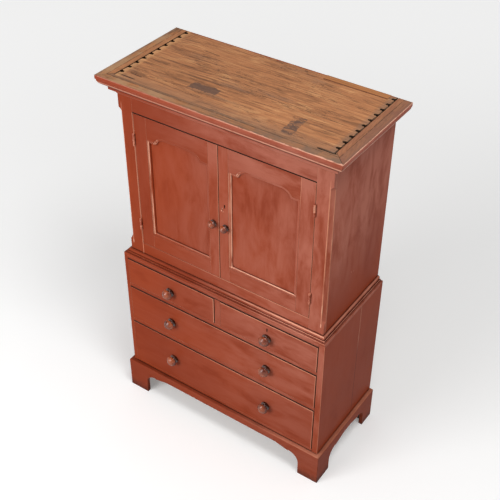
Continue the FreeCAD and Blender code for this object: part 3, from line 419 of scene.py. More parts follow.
def from_side(shader, low, high, side):
    """How far a place is from one side of a piece's box, or from the top of the waist moulding."""
    if side == "waist":
        return shader.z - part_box("waist_moulding")[1].z
    axis, corner, sign = {
        "left": ("x", low, 1), "right": ("x", high, -1),
        "bottom": ("z", low, 1), "top": ("z", high, -1)}[side]
    return (getattr(shader, axis) - getattr(corner, axis)) * sign


def rub_and_highlight(shader, colour, away, width, strength, breaks):
    """A band of broken wear and painted highlight along an edge, cream at its worst."""
    band = (away / width + (breaks - 0.5) * 0.9).rise(1.3, 0.5) * breaks.rise(0.24, 0.48)
    colour = shader.mix((band * strength).least(1), colour, WORN_PAINT_AND_HIGHLIGHT)
    return shader.mix(band * breaks.rise(0.58, 0.70) * strength * 0.55, colour, CHIP_AND_HIGHLIGHT)


def edge_lines(shader, colour, low, high, seed, rubbed_and_highlit, shaded_seams):
    """Rubbed bands with painted highlight, and painted shadows at seams, on a piece's front, by
    side, with widths in millimetres.
    """
    front = facing_front(shader)
    for side, (width, strength) in rubbed_and_highlit.items():
        # Painted highlight: the top band grows brighter towards the right
        if side == "top":
            strength = shader.x.rise(-0.45, 0.30) * (strength * 0.85) + strength * 0.15
        run = "z" if side in ("left", "right") else "x"
        breaks = shader.noise(along(run, 11, 55), seed + 33 + width, 4, 0.65)
        away = from_side(shader, low, high, side)
        colour = rub_and_highlight(shader, colour, away, width * MM, front * strength, breaks)
    # Painted shadows: near black lines along the seams and at the foot of the upper case
    for side, width in shaded_seams.items():
        away = from_side(shader, low, high, side) / (width * MM)
        across = 1 if side == "waist" else front
        colour = shader.mix(away.rise(1.25, 0.6) * 0.9 * across, colour, GAP_SHADE)
    return colour


def bare_faces(shader, kind, low, ragged):
    """Which faces of a piece were never painted."""
    behind = shader.facing[1].rise(0.4, 0.7)
    if kind == "behind":
        return behind
    if kind == "inward":
        to_middle = shader.facing[0] * shader.x
        return to_middle.rise(0.0, -0.3).most(behind)
    beyond_front = shader.facing[1].rise(-0.75, -0.45)
    spill = (shader.y - low.y + (ragged - 0.5) * 0.005).rise(1.2 * MM, 3.2 * MM)
    return beyond_front * spill


def shade_gaps(shader, colour, strength=1.0):
    """Painted shade: near black between two pieces that stand close together."""
    deep = shader.crevice(11 * MM).rise(0.26, 0.50)
    return shader.mix(deep * (1 - facing_front(shader)) * (0.92 * strength), colour, GAP_SHADE)


def painted(name, grain, seed, fade_and_sheen=1.0, wear=0.25, bare="", marks=None, rubbed_and_highlit=None,
            shaded_seams=None, gaps=1.0):
    """The paint of one piece, with its own marks, and bare wood where it was never painted."""
    low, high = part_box(name)
    shader = Shader(f"paint_{name}")
    colour, roughness, normal = paint_layers(
        shader, grain, seed, fade_and_sheen_of(shader, name, fade_and_sheen), wear, gaps)
    colour = edge_lines(shader, colour, low, high, seed, rubbed_and_highlit or {}, shaded_seams or {})
    if marks:
        colour = marks(shader, colour, low, high)
    if bare:
        ragged = shader.noise((120, 120, 120), seed + 27, 3)
        mask = bare_faces(shader, bare, low, ragged)
        wood = plain_pine(shader, grain, seed + 40).colour
        soiled = shader.mix(0.72 if bare == "all but front" else 0.30, wood, GRIME_AND_SHADE)
        colour = shader.mix(mask, colour, soiled)
        roughness = roughness + mask * 0.2
    colour = shade_gaps(shader, colour, gaps)
    return shader.finish(colour, roughness, normal, Specular_IOR_Level=0.06)


# Marks on single painted pieces, which get the colour so far and mostly the piece's box too
def moulding_wear_highlight_and_shade(shader, colour, low, high):
    """The moulding round a panel is rubbed along its left run and at its shoulder, worn with a
    painted highlight on its foot, and darkened with dirt and painted shade in its quirk.
    """
    inner = LEFT_DOOR_LINE if high.x < 0 else RIGHT_DOOR_LINE
    breaks = shader.noise((40, 40, 8), low.x * 9, 4, 0.6)
    run_breaks = shader.noise((8, 40, 40), low.x * 7, 4, 0.6)
    from_left, from_foot, from_head = shader.x - low.x, shader.z - low.z, high.z - shader.z
    run = from_head.rise(30 * MM, 42 * MM) * from_foot.rise(3 * MM, 9 * MM)
    whole = from_left.rise(inner + 3 * MM, inner) * run
    colour = shader.mix(whole * (0.12 + breaks.rise(0.36, 0.60) * 0.26), colour, WORN_PAINT_AND_HIGHLIGHT)
    for place, strength in ((0.5 * MM, 0.6), (inner, 0.9)):
        line = from_left.near(place, 1.9 * MM, 0.5 * MM) * run
        colour = shader.mix(line * breaks.rise(0.28, 0.50) * strength, colour, CHIP_AND_HIGHLIGHT)
    # Wear with a painted highlight along the foot, brighter towards the right
    towards_right = 0.20 + shader.x.rise(-0.25, 0.32) * 0.80
    foot = from_foot.near(MOULDING_WIDTH - 3 * MM, 2.0 * MM, 0.7 * MM) * towards_right
    colour = shader.mix(foot * run_breaks.rise(0.30, 0.50) * 0.85, colour, CHIP_AND_HIGHLIGHT)
    # Dirt and painted shade in the quirk above the foot
    beyond_corner = from_left.rise(MOULDING_WIDTH, MOULDING_WIDTH + 4 * MM)
    quirk = from_foot.near(MOULDING_WIDTH, 2.4 * MM, 1.0 * MM) * beyond_corner
    colour = shader.mix(quirk * 0.35, colour, GRIME_AND_SHADE)
    beside_head = from_head.rise(52 * MM, 36 * MM)
    shoulder = from_left.near(MOULDING_SHOULDER, 30 * MM, 14 * MM) * beside_head
    scribble = shader.noise((150, 150, 150), low.x * 5, 3, 0.7).rise(0.50, 0.57)
    return shader.mix(shoulder * scribble * 0.6, colour, CHIP_AND_HIGHLIGHT)


def waist_highlights_and_shade(shader, colour, low, high):
    """Painted highlights on the waist moulding's rounds near the right corner, and painted shade
    on its upward faces elsewhere.
    """
    outward = (-shader.facing[1]).most(abs(shader.facing[0]))
    crown = (outward * shader.facing[2]).rise(0.30, 0.50)
    towards_corner = shader.x.rise(-0.20, 0.60) * (0.25 + facing_front(shader) * 0.55)
    breaks = shader.noise((9, 9, 60), 3.3, 4, 0.6)
    # Painted shade on faces that look up, and painted highlights on the rounds towards the corner
    return shader.over(
        colour,
        (shader.facing[2].rise(0.15, 0.7) * (1 - towards_corner) * 0.18, GRIME_AND_SHADE),
        ((crown * towards_corner * (0.5 + breaks)).least(1), WORN_PAINT_AND_HIGHLIGHT),
        (crown.rise(0.6, 1.0) * towards_corner * breaks * 0.9, CHIP_AND_HIGHLIGHT))


def plinth_wear_and_highlight(shader, colour, low, high):
    """The rounded top edge of the plinth is lightened towards the right by wear and painted
    highlight, and its feet are dirty.
    """
    crown = shader.facing[2].rise(0.25, 0.6)
    # Wear with a painted highlight, brighter towards the right
    rubbed_and_highlit = crown * shader.x.rise(0.0, 0.55) * 0.40
    breaks = shader.noise((14, 14, 60), 6.3, 4, 0.6)
    scuffs = shader.noise((45, 45, 30), 8.3, 4, 0.7)
    dirty = (shader.z + (scuffs - 0.5) * 0.09).rise(0.06, 0.0) * 0.55
    return shader.over(
        colour,
        (0.08 + crown * 0.04, GRIME_AND_SHADE),
        (rubbed_and_highlit * (0.4 + breaks), WORN_PAINT_AND_HIGHLIGHT),
        (dirty, GRIME_AND_SHADE))


def rail_shadows(shader, colour, low, high):
    """A painted shadow: a near black line under each rail, over the long drawers."""
    for name in ("upper_long_drawer_front", "lower_long_drawer_front"):
        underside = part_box(name)[1].z + DRAWER_TOP_GAP
        line = shader.z.near(underside, 6.6 * MM, 4.6 * MM) * facing_front(shader)
        colour = shader.mix(line * 0.90, colour, GAP_SHADE)
    return colour


def keyhole_mark(shader, colour, place, drop):
    """A keyhole is painted near black inside as painted shade, fading out round its edge."""
    x, z = place
    slot = abs(shader.x - x).most((abs(shader.z - z + drop / 2) - drop / 2) * 0.8)
    return shader.mix(slot.rise(3.6 * MM, 2.0 * MM) * 0.85, colour, GAP_SHADE)


def door_lock_marks(shader, colour, low, high):
    """The cupboard's keyhole, and rubbed spots beside it."""
    ragged = shader.noise((300, 300, 300), 4.4, 3)
    for x, z, size, mark, strength in KEYHOLE_SPOTS:
        away = abs(shader.x - x).most(abs(shader.z - z) * 0.7) + (ragged - 0.5) * 0.004
        colour = shader.mix(away.rise(size * MM, size / 2 * MM) * strength, colour, mark)
    return keyhole_mark(shader, colour, DOOR_KEYHOLE, DOOR_KEYHOLE_DROP)


def drawer_lock_marks(shader, colour, low, high):
    """The keyhole of the right short drawer."""
    return keyhole_mark(shader, colour, DRAWER_KEYHOLE, DRAWER_KEYHOLE_DROP)


def chamfer_wear(shader, colour, low, high):
    """The stopped chamfer is rubbed along both its edges, and chipped at its lower end."""
    outer = max(abs(low.x), abs(high.x))
    breaks = shader.noise((40, 40, 9), 5.5, 4, 0.6)
    above_foot = shader.z.rise(CHAMFER_FOOT - 15 * MM, CHAMFER_FOOT)
    run = above_foot * shader.z.rise(CHAMFER_HEAD + 20 * MM, CHAMFER_HEAD)
    front_edge = abs(shader.x).near(outer - CHAMFER, 3.0 * MM, 1.2 * MM)
    side_edge = shader.y.near(low.y + CHAMFER, 2.6 * MM, 1.0 * MM)
    lines = (front_edge * 0.75 + side_edge * 0.6) * run * breaks.rise(0.28, 0.55)
    slanted = (abs(shader.facing[0]) * -shader.facing[1]).rise(0.30, 0.48)
    stop = shader.z.near(CHAMFER_FOOT, 14 * MM, 6 * MM) * slanted.most(front_edge)
    return shader.over(
        colour,
        (lines.least(1), WORN_PAINT_AND_HIGHLIGHT),
        (lines * breaks.rise(0.56, 0.66) * 0.7, CHIP_AND_HIGHLIGHT),
        (stop * breaks.rise(0.2, 0.5) * 0.8, CHIP_AND_HIGHLIGHT))


def left_stile_marks(shader, colour, low, high):
    """The left stile is rubbed along the opening of the door."""
    colour = chamfer_wear(shader, colour, low, high)
    breaks = shader.noise((55, 55, 11), 3.7, 4, 0.65)
    door_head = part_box("left_door_stiles")[1].z
    beside = shader.z.rise(door_head + 4 * MM, door_head - 3 * MM) * facing_front(shader) * 0.85
    return rub_and_highlight(shader, colour, high.x - shader.x, 3.5 * MM, beside, breaks)


def right_door_marks(shader, colour, low, high):
    """The marks by the keyhole, and the joint of hinge stile and top rail, pale high up."""
    colour = door_lock_marks(shader, colour, low, high)
    breaks = shader.noise((40, 40, 9), 7.1, 4, 0.6)
    joint = shader.x.near(high.x - HINGE_STILE, 2.6 * MM, 1.3 * MM) * facing_front(shader)
    upper = shader.z.rise(TOP_RAIL_FOOT - 40 * MM, TOP_RAIL_FOOT + 40 * MM)
    colour = shader.mix(joint * upper * breaks.rise(0.3, 0.5) * 0.7, colour, WORN_PAINT_AND_HIGHLIGHT)
    return shader.mix(joint * (1 - upper) * 0.25, colour, GRIME_AND_SHADE)


def lower_side_marks(shader, colour, low, high):
    """The right side of the lower case is split from its top edge, where two boards meet."""
    wander = shader.noise((1, 1, 11), 2.2, 3)
    away = abs(shader.y - (high.y - SIDE_SPLIT_FROM_BACK) + (wander - 0.5) * 0.008)
    outward = shader.facing[0].rise(0.5, 0.8)
    length = shader.z.rise(SIDE_SPLIT_FOOT, SIDE_SPLIT_FULL)
    colour = shader.mix(away.rise(3.4 * MM, 2.0 * MM) * outward * 0.5, colour, GRIME_AND_SHADE)
    pale = away.rise(2.2 * MM, 1.0 * MM) * length * outward
    return shader.mix(pale * 0.85, colour, WORN_PAINT_AND_HIGHLIGHT)


def upper_side_marks(shader, colour):
    """A few knocks low down on the side of the upper case."""
    ragged = shader.noise((220, 220, 220), 9.4, 3)
    for y, z, size in SIDE_KNOCKS:
        away = abs(shader.y - y) + abs(shader.z - z) + (ragged - 0.5) * 0.006
        colour = shader.mix(away.rise(size * MM, size / 2 * MM) * 0.6, colour, WORN_PAINT_AND_HIGHLIGHT)
    return colour


# The top
def turned(shader, middle, turn):
    """How far a place on the top is from a point, along a direction and across it."""
    cosine, sine = math.cos(turn), math.sin(turn)
    away_x, away_y = shader.x - middle[0], shader.y - middle[1]
    return away_x * cosine + away_y * sine, away_y * cosine - away_x * sine


def stain(shader, patch, back, ragged):
    """A ragged patch on the top."""
    x, from_back, half_length, half_width, turn = patch
    u, v = turned(shader, (x, back - from_back), math.radians(turn))
    outside = (abs(u) - half_length).most(abs(v) - half_width)
    return (outside + (ragged - 0.5) * 0.034).rise(2.5 * MM, -2.5 * MM)


def slit(shader, start, end, width, ragged):
    """A split between two places on the top."""
    start, end = Vector(start), Vector(end)
    run = end - start
    u, v = turned(shader, (start + end) / 2, math.atan2(run.y, run.x))
    u = abs(u) / (run.length / 2)
    v = abs(v + (ragged - 0.5) * 0.004)
    return (v / width + u.maths("POWER", 10)).rise(1.0, 0.6)


def front_slit(shader, joint, ragged):
    """The top board stands off from the cornice near its right end."""
    return slit(shader, (FRONT_SLIT_START, joint), FRONT_SLIT_END, 7 * MM, ragged)


def top_splits(shader, low, high, ragged):
    """The open joint at the front, the split that goes on from it, and those along the grain."""
    corner = (FRONT_SLIT_END[0], low.y + 55 * MM)
    splits = front_slit(shader, low.y, ragged)
    splits = splits.most(slit(shader, FRONT_SLIT_END, corner, 8 * MM, ragged))
    for edge, inward, places in ((high.y, -1, SPLITS_FROM_BACK), (low.y, 1, SPLITS_FROM_FRONT)):
        for x, off, end_x, end_off, width in places:
            start, end = (x, edge + inward * off), (end_x, edge + inward * end_off)
            splits = splits.most(slit(shader, start, end, width * MM, ragged))
    return splits


def frayed(shader, seed):
    """Noise that frays stains, splits and seams."""
    return shader.noise((42, 42, 42), seed, 5, 0.7)


def top_wood(shader, grain, seed):
    """Old bare wood of the top: streaky, mottled, greyed and split."""
    wood = wood_layers(shader, grain, seed, TOP_WOOD, TOP_WOOD_DARK, TOP_WOOD_LIGHT, 0.021)
    patches = shader.noise(along(grain, 5, 17), seed + 41, 5, 0.65, 0.6)
    streaks = shader.noise(along(grain, 4.5, 52), seed + 47, 5, 0.7, 0.3)
    greying = shader.noise(along(grain, 3.2, 13), seed + 29, 5, 0.6)
    checks = shader.noise(along(grain, 3.0, 60), seed + 31, 3, 0.6)
    lines = checks.near(0.5, 0.015, 0.003) * greying.rise(0.40, 0.54)
    soot = shader.noise(along(grain, 3.5, 110), seed + 61, 5, 0.75, 0.2).rise(0.55, 0.68)
    colour = shader.over(
        wood.colour,
        (patches.rise(0.52, 0.70) * 0.45, TOP_WOOD_LIGHT),
        (patches.rise(0.47, 0.30) * 0.55, TOP_WOOD_DARK),
        (streaks.rise(0.56, 0.70) * 0.55, TOP_WOOD_DARK),
        (greying.rise(0.54, 0.74) * 0.55, TOP_WOOD_GREY),
        (lines * 0.9, TOP_WOOD_DARK),
        (soot * patches.rise(0.62, 0.42) * 0.62, SPLIT_AND_SHADE))
    return Wood(colour, wood.relief - lines * 0.9 + patches * 0.5, wood.fibres)


TOP_SEED = 4.0


def top_board_material():
    """The bare top: stained, split, painted along its back edge, black in the end joints with
    painted shade in their sockets.
    """
    low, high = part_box("top_board")
    shader = Shader("bare_top_board")
    wood = top_wood(shader, "x", TOP_SEED)
    ragged = frayed(shader, TOP_SEED + 23)
    near_front = (shader.y + (ragged - 0.5) * 0.10).rise(low.y + 0.080, low.y + 0.010)
    scratches = shader.noise((24, 70, 70), 41.0, 5, 0.75, 0.6).rise(0.40, 0.56)
    splits = top_splits(shader, low, high, ragged)
    edge_paint = (high.y - shader.y + (ragged - 0.5) * 0.030).rise(9 * MM, 5 * MM)
    end_wood = abs(shader.x).rise(END_JOINT_START, END_JOINT_FULL)
    pale_end = shader.mix(shader.x.rise(-0.1, 0.1), TOP_WOOD_LIGHT, TOP_WOOD_GREY)
    # Painted shade: near black in the sockets of the end joints, by ambient occlusion
    hollow_shade = shader.crevice(28 * MM) + (ragged - 0.5) * 0.30
    tail_ends = (high.x - abs(shader.x) + (ragged - 0.5) * 0.012).rise(5.5 * MM, 3.0 * MM)
    rounded = shader.rounded(2.5 * MM)
    colour = shader.over(
        wood.colour,
        (near_front * 0.35, TOP_WOOD_GREY),
        (stain(shader, FIRST_STAIN, high.y, ragged) * 0.78, TOP_STAIN),
        (stain(shader, SECOND_STAIN, high.y, ragged) * scratches * 0.92, TOP_STAIN),
        (splits * 0.92, SPLIT_AND_SHADE),
        (edge_paint * 0.75, PAINT_DEEP),
        (end_wood * 0.50, pale_end),
        (hollow_shade.rise(0.12, 0.40) * 0.95, SPLIT_AND_SHADE),
        (tail_ends * 0.85, SPLIT_AND_SHADE),
        (shader.arris(rounded) * 0.25, TOP_WOOD_LIGHT))
    normal = shader.bump(wood.relief - splits * 2, 0.9 * MM, rounded)
    return shader.finish(colour, 0.66 + wood.fibres * 0.14, normal, Specular_IOR_Level=0.3)


def side_board_material(name, seed):
    """A painted side whose pins, standing in the top board, are bare end grain, darkened for decay
    and as painted shade.
    """
    low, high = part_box(name)
    shader = Shader(f"paint_{name}")
    colour, roughness, normal = paint_layers(shader, "z", seed, side_fade_and_sheen(shader), 0.30)
    colour = upper_side_marks(shader, colour)
    # A painted shadow line just above the waist moulding
    colour = edge_lines(shader, colour, low, high, seed, {}, {"waist": 2.6})
    ragged = frayed(shader, seed + 73)
    inside = plain_pine(shader, "z", seed + 60).colour
    colour = shader.mix(bare_faces(shader, "inward", low, ragged), colour, inside)
    end_grain = top_wood(shader, "z", seed + 50).colour
    # The pins stand lower than the board: darkened for decay and as painted shade
    rotten_and_shaded = shader.mix(ragged.rise(0.58, 0.42) * 0.45 + 0.50, end_grain, SPLIT_AND_SHADE)
    top_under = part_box("top_board")[0].z
    pins = shader.z.rise(top_under - 1 * MM, top_under + 1 * MM)
    colour = shade_gaps(shader, shader.mix(pins, colour, rotten_and_shaded))
    return shader.finish(colour, roughness, normal, Specular_IOR_Level=0.06)


def cornice_lines(shader, colour, high, seed, arris_wear_and_highlight):
    """The top arris and the round of the ovolo have wear and painted highlights, with a painted
    shadow line at its foot.
    """
    breaks = shader.noise((30, 30, 30), seed + 71, 4, 0.65).rise(0.28, 0.50)
    towards_right = 0.35 + shader.x.rise(-0.40, 0.55) * 0.65
    # Painted highlights with wear on the arris and the ovolo's crown, and a painted shadow line at
    # the ovolo's foot
    arris = shader.z.rise(high.z - 4.5 * MM, high.z - 2.0 * MM) * breaks * towards_right
    dirt_and_shade = shader.z.near(high.z - OVOLO_FOOT_DROP, 13.5 * MM, 10.5 * MM)
    crown = shader.z.near(high.z - OVOLO_CROWN_DROP, 4.6 * MM, 2.0 * MM)
    return shader.over(
        colour,
        (arris * arris_wear_and_highlight, CHIP_AND_HIGHLIGHT),
        (dirt_and_shade * 0.62, GRIME_AND_SHADE),
        (crown * (0.45 + breaks * 0.55) * (0.35 + towards_right * 0.45), CHIP_AND_HIGHLIGHT))


def cornice_upper_face(shader, grain, seed, low, high, from_front):
    """Two strips of bare, greyed wood, with open joints between them and at the mitres."""
    wood = top_wood(shader, grain, seed + 50).colour
    ragged = frayed(shader, seed + 73)
    seam = from_front + (ragged - 0.5) * 0.006
    mottle = shader.noise((9, 9, 9), seed + 55, 5, 0.7).rise(0.40, 0.62)
    greyed = (mottle * 0.45 + shader.x.rise(-0.45, 0.5) * 0.40).least(1)
    edge_band = from_front.rise(14 * MM, 9 * MM) * (0.60 if grain == "y" else 0.15)
    outer = shader.over(
        wood,
        (greyed, CORNICE_GREY),
        (edge_band, CORNICE_GREY),
        (shader.x.rise(0.10, -0.45) * mottle * 0.6, CORNICE_PALE))
    if grain == "y":
        right_end = shader.x.rise(0.50, 0.54)
        outer = shader.mix(right_end * (0.45 + mottle * 0.4), outer, CORNICE_RED)
        inner = shader.over(
            wood, ((1 - right_end * 0.6) * 0.42, CORNICE_STRIP), (right_end * 0.55, CORNICE_RED))
    else:
        inner = shader.mix(0.55, wood, CORNICE_GREY)
    face = shader.mix(seam.rise(CORNICE_SEAM - 4 * MM, CORNICE_SEAM + 3 * MM), outer, inner)
    crevice = seam.near(CORNICE_SEAM, 2.4 * MM, 0.8 * MM) * ragged.rise(0.35, 0.55)
    mitre = abs((high.x - abs(shader.x)) - (shader.y - low.y)).rise(2.2 * MM, 0.8 * MM)
    open_joints = (crevice.most(mitre) * 0.75).most(
        front_slit(shader, FRONT_SLIT_END[1], ragged))
    return shader.mix(open_joints, face, SPLIT_AND_SHADE)


def cornice_material(name, grain, seed):
    """Painted moulding with a bare upper face, and painted shade, near black, on the side that is
    hidden by the case.
    """
    low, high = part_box(name)
    shader = Shader(f"paint_{name}")
    under_top = high.z - shader.z
    fade_and_sheen = front_fade_and_sheen(shader, 0.55 + under_top.rise(52 * MM, 64 * MM) * 0.6)
    colour, roughness, normal = paint_layers(shader, grain, seed, fade_and_sheen, 0.25)
    colour = cornice_lines(shader, colour, high, seed, 0.62 if grain == "x" else 0.85)
    # Painted shade: the faces towards the case, in the sockets, are near black
    towards_case = shader.facing[1] if grain == "x" else -(shader.facing[0] * shader.x)
    colour = shader.mix(towards_case.rise(0.2, 0.4), colour, SPLIT_AND_SHADE)
    from_front = shader.y - low.y if grain == "x" else high.x - abs(shader.x)
    upper = shader.facing[2].rise(0.75, 0.95) * under_top.rise(2 * MM, 1 * MM)
    reach = shader.noise((13, 13, 13), seed + 57, 4, 0.7).rise(0.38, 0.72)
    reach = reach * (9 if grain == "x" else 1) * MM
    faces_up = upper * (from_front - reach).rise(0, 1.5 * MM)
    upper_face = cornice_upper_face(shader, grain, seed, low, high, from_front)
    colour = shader.mix(faces_up, colour, upper_face)
    return shader.finish(colour, roughness + faces_up * 0.18, normal, Specular_IOR_Level=0.12)


def batten_material():
    """Newer pine, dark along the joint with the old board."""
    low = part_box("top_back_batten")[0]
    shader = Shader("new_pine_batten")
    wood = wood_layers(shader, "x", 71.0, NEW_PINE, TOP_WOOD_DARK, PINE, 0.012)
    breaks = shader.noise((12, 60, 60), 73.0, 4, 0.6)
    joint = (shader.y - low.y + (breaks - 0.5) * 0.004).rise(5.0 * MM, 2.5 * MM)
    colour = shader.mix(joint * 0.8, wood.colour, NEW_PINE_EDGE)
    normal = shader.bump(wood.relief, 0.4 * MM, shader.rounded(1.5 * MM))
    return shader.finish(colour, 0.60 + wood.fibres * 0.12, normal, Specular_IOR_Level=0.3)


def edged_board_material(name, grain, seed):
    """Bare pine with paint on its front edge alone."""
    low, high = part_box(name)
    shader = Shader(f"edged_{name}")
    colour, roughness, normal = paint_layers(shader, grain, seed, front_fade_and_sheen(shader, 1.0), 0.25)
    # A painted shadow line under the board's front edge
    colour = edge_lines(shader, colour, low, high, seed, {}, {"bottom": 6.5})
    ragged = shader.noise((120, 120, 120), seed + 27, 3)
    bare = bare_faces(shader, "all but front", low, ragged)
    colour = shader.mix(bare, colour, plain_pine(shader, grain, seed + 40).colour)
    colour = shade_gaps(shader, colour)
    return shader.finish(colour, roughness + bare * 0.18, normal, Specular_IOR_Level=0.06)


# Knobs and iron
def knob_material(name, seed):
    """Dark red polish over turned wood, worn through to orange below, with painted shade near
    black in the hollows.
    """
    shader = Shader(f"polish_{name}")
    turning = shader.noise((7, 120, 7), seed, 4)
    clouds = shader.noise((26, 26, 26), seed + 3, 4)
    colour = shader.mix(clouds.rise(0.36, 0.66), KNOB_DARK, KNOB_RED)
    colour = shader.mix(turning.rise(0.5, 0.8) * 0.3, colour, KNOB_RED)
    # Painted shade: near black in the hollows, by ambient occlusion
    hollow_shade = shader.crevice(22 * MM)
    colour = shader.mix(hollow_shade.rise(0.12, 0.40) * 0.96, colour, KNOB_HOLLOW_SHADE)
    normal = shader.bump(turning, 0.04 * MM)
    return shader.finish(colour, 0.20 + clouds * 0.06, normal, Specular_IOR_Level=0.50)


def iron_material(name, seed, paint_left):
    """Dark iron, with more or less red paint left on it."""
    shader = Shader(f"iron_{name}")
    pits = shader.noise((340, 340, 340), seed, 4, 0.7)
    patches = shader.noise((45, 45, 45), seed + 3, 4)
    colour = shader.mix(patches.rise(0.5, 0.75) * 0.6, IRON, RUST)
    rounded = shader.rounded(0.8 * MM)
    colour = shader.mix(shader.arris(rounded) * 0.5, colour, IRON_BRIGHT)
    kept = (patches + (pits - 0.5) * 0.5).rise(paint_left + 0.04, paint_left - 0.04)
    paint = shader.mix(patches.rise(0.40, 0.60) * 0.85, PAINT, WORN_PAINT_AND_HIGHLIGHT)
    colour = shader.mix(kept, colour, paint)
    normal = shader.bump(pits, 0.2 * MM, rounded)
    bare = 1 - kept
    return shader.finish(colour, 0.45 + patches * 0.2, normal, Metallic=bare * 0.85)


def dress(name, material):
    """Gives a node its material."""
    mesh = nodes[name].data
    mesh.materials.clear()
    mesh.materials.append(material)


# What each painted piece wears: its grain, its seed, and what it has beyond plain paint
# Shaded seams are painted shadow lines, and rubbed bands are wear with painted highlight
PAINTED = {
    "face_stile_left": dict(
        grain="z", seed=1.0, bare="behind", marks=left_stile_marks, shaded_seams={"waist": 2.6}),
    "face_stile_right": dict(
        grain="z", seed=2.3, fade_and_sheen=1.05, bare="behind", marks=chamfer_wear,
        rubbed_and_highlit={"left": (2, 0.2)}, shaded_seams={"waist": 2.6}),
    "frieze_rail": dict(grain="x", seed=3.1, bare="behind", shaded_seams={"bottom": 2.8}),
    "bottom_face_rail": dict(
        grain="x", seed=4.4, bare="behind", rubbed_and_highlit={"top": (4, 0.75)}, shaded_seams={"waist": 2.6}),
    "waist_moulding": dict(grain="x", seed=5.2, marks=waist_highlights_and_shade),
    "lower_side_left": dict(grain="z", seed=6.6, bare="inward"),
    "lower_side_right": dict(
        grain="z", seed=7.9, bare="inward", marks=lower_side_marks, rubbed_and_highlit={"right": (2.5, 0.5)},
        shaded_seams={"left": 1.8}),
    "drawer_rails": dict(grain="x", seed=8.3, bare="all but front", marks=rail_shadows),
    "short_drawer_divider": dict(grain="z", seed=9.5, bare="all but front", shaded_seams={"left": 2.5}),
    "plinth_front": dict(grain="x", seed=10.4, fade_and_sheen=0.8, bare="behind", marks=plinth_wear_and_highlight),
    "plinth_sides": dict(grain="y", seed=11.8, fade_and_sheen=0.5, bare="inward", marks=plinth_wear_and_highlight),
    "left_door_stiles": dict(
        grain="z", seed=12.5, fade_and_sheen=1.25, wear=0.4, rubbed_and_highlit={"left": (2, 0.5), "right": (3, 0.6)},
        shaded_seams={"top": 1}),
    "right_door_stiles": dict(
        grain="z", seed=13.1, fade_and_sheen=0.95, wear=0.4, marks=right_door_marks,
        rubbed_and_highlit={"right": (2, 0.4)}, shaded_seams={"top": 1, "left": 1.2}),
    "left_door_rails": dict(grain="x", seed=14.9, fade_and_sheen=1.1, shaded_seams={"top": 1}),
    "right_door_rails": dict(grain="x", seed=15.2, fade_and_sheen=0.9, shaded_seams={"top": 1}),
    "left_door_panel": dict(grain="z", seed=16.7, fade_and_sheen=1.2, wear=0.1, gaps=0.3),
    "right_door_panel": dict(grain="z", seed=17.4, fade_and_sheen=0.75, wear=0.1, gaps=0.3),
    "left_door_panel_moulding": dict(grain="z", seed=18.8, marks=moulding_wear_highlight_and_shade, gaps=0.35),
    "right_door_panel_moulding": dict(grain="z", seed=19.6, marks=moulding_wear_highlight_and_shade, gaps=0.35),
    "left_short_drawer_front": dict(
        grain="x", seed=20.3, bare="all but front", rubbed_and_highlit={"top": (5, 0.8), "right": (5, 0.75)}),
    "right_short_drawer_front": dict(
        grain="x", seed=21.9, bare="all but front", marks=drawer_lock_marks,
        rubbed_and_highlit={"top": (5, 0.9), "right": (4, 0.6)}),
    "upper_long_drawer_front": dict(
        grain="x", seed=22.5, fade_and_sheen=0.9, bare="all but front",
        rubbed_and_highlit={"top": (5, 0.85), "right": (4, 0.6)}),
    "lower_long_drawer_front": dict(
        grain="x", seed=23.7, fade_and_sheen=0.8, bare="all but front",
        rubbed_and_highlit={"top": (5, 0.85), "right": (4, 0.6)}),
}
PINE_NODES = {
    "upper_floor_board": "x", "upper_back_boards": "z", "cupboard_shelves": "x",
    "shelf_bearers": "y", "door_stop": "x", "lower_back_boards": "z", "drawer_runners": "y",
    "drawer_stops": "x", "foot_blocks": "z", "rear_feet": "z", "left_short_drawer_box": "y",
    "right_short_drawer_box": "y", "upper_long_drawer_box": "y", "lower_long_drawer_box": "y",
}
for node_name, finish in PAINTED.items():
    dress(node_name, painted(node_name, **finish))
for index, (node_name, grain) in enumerate(PINE_NODES.items()):
    dress(node_name, pine(node_name, grain, 30 + index * 1.3))
dress("lower_top_board", edged_board_material("lower_top_board", "x", 48.3))
dress("lower_bottom_board", edged_board_material("lower_bottom_board", "x", 51.7))
dress("upper_side_left", side_board_material("upper_side_left", 24.6))
dress("upper_side_right", side_board_material("upper_side_right", 25.4))
dress("cornice_front", cornice_material("cornice_front", "x", 26.2))
dress("cornice_returns", cornice_material("cornice_returns", "y", 27.8))
dress("top_board", top_board_material())
dress("top_back_batten", batten_material())
for index, node_name in enumerate(sorted(nodes)):
    if "knob" in node_name:
        dress(node_name, knob_material(node_name, 60 + index * 0.7))
    elif "hinge" in node_name:
        dress(node_name, iron_material(node_name, 80 + index * 0.7, 0.70))
    elif "lock" in node_name:
        dress(node_name, iron_material(node_name, 80 + index * 0.7, 0.0))


# Small iron work: screws in the hinges and locks, nails in the backs
SCREW_RADIUS, SCREW_SLOT_HALF = 2.8 * MM, 0.4 * MM
NAIL_RADIUS = 3.2 * MM
HEAD_HEIGHT = 0.35 * MM
HEAD_TAPER = 0.86
HEAD_TURN = 2.4
HINGE_LINE = 470 * MM
HINGE_HEIGHT = 62 * MM
LEAF_GAP = 2 * MM
LEAF_MIDDLE = 9 * MM
SCREW_STAGGER = 3 * MM
LOCK_SCREW_INSET = 6 * MM
BACK_BOARD_COUNT = 5
NAIL_SHARES = (0.22, 0.78)
SHELF_MIDDLE = 9 * MM
UPPER_BACK_FOOT, UPPER_BACK_HEAD = 0.926, 1.866
LOWER_BACK_LEVELS = (0.200, 0.545, 0.882)


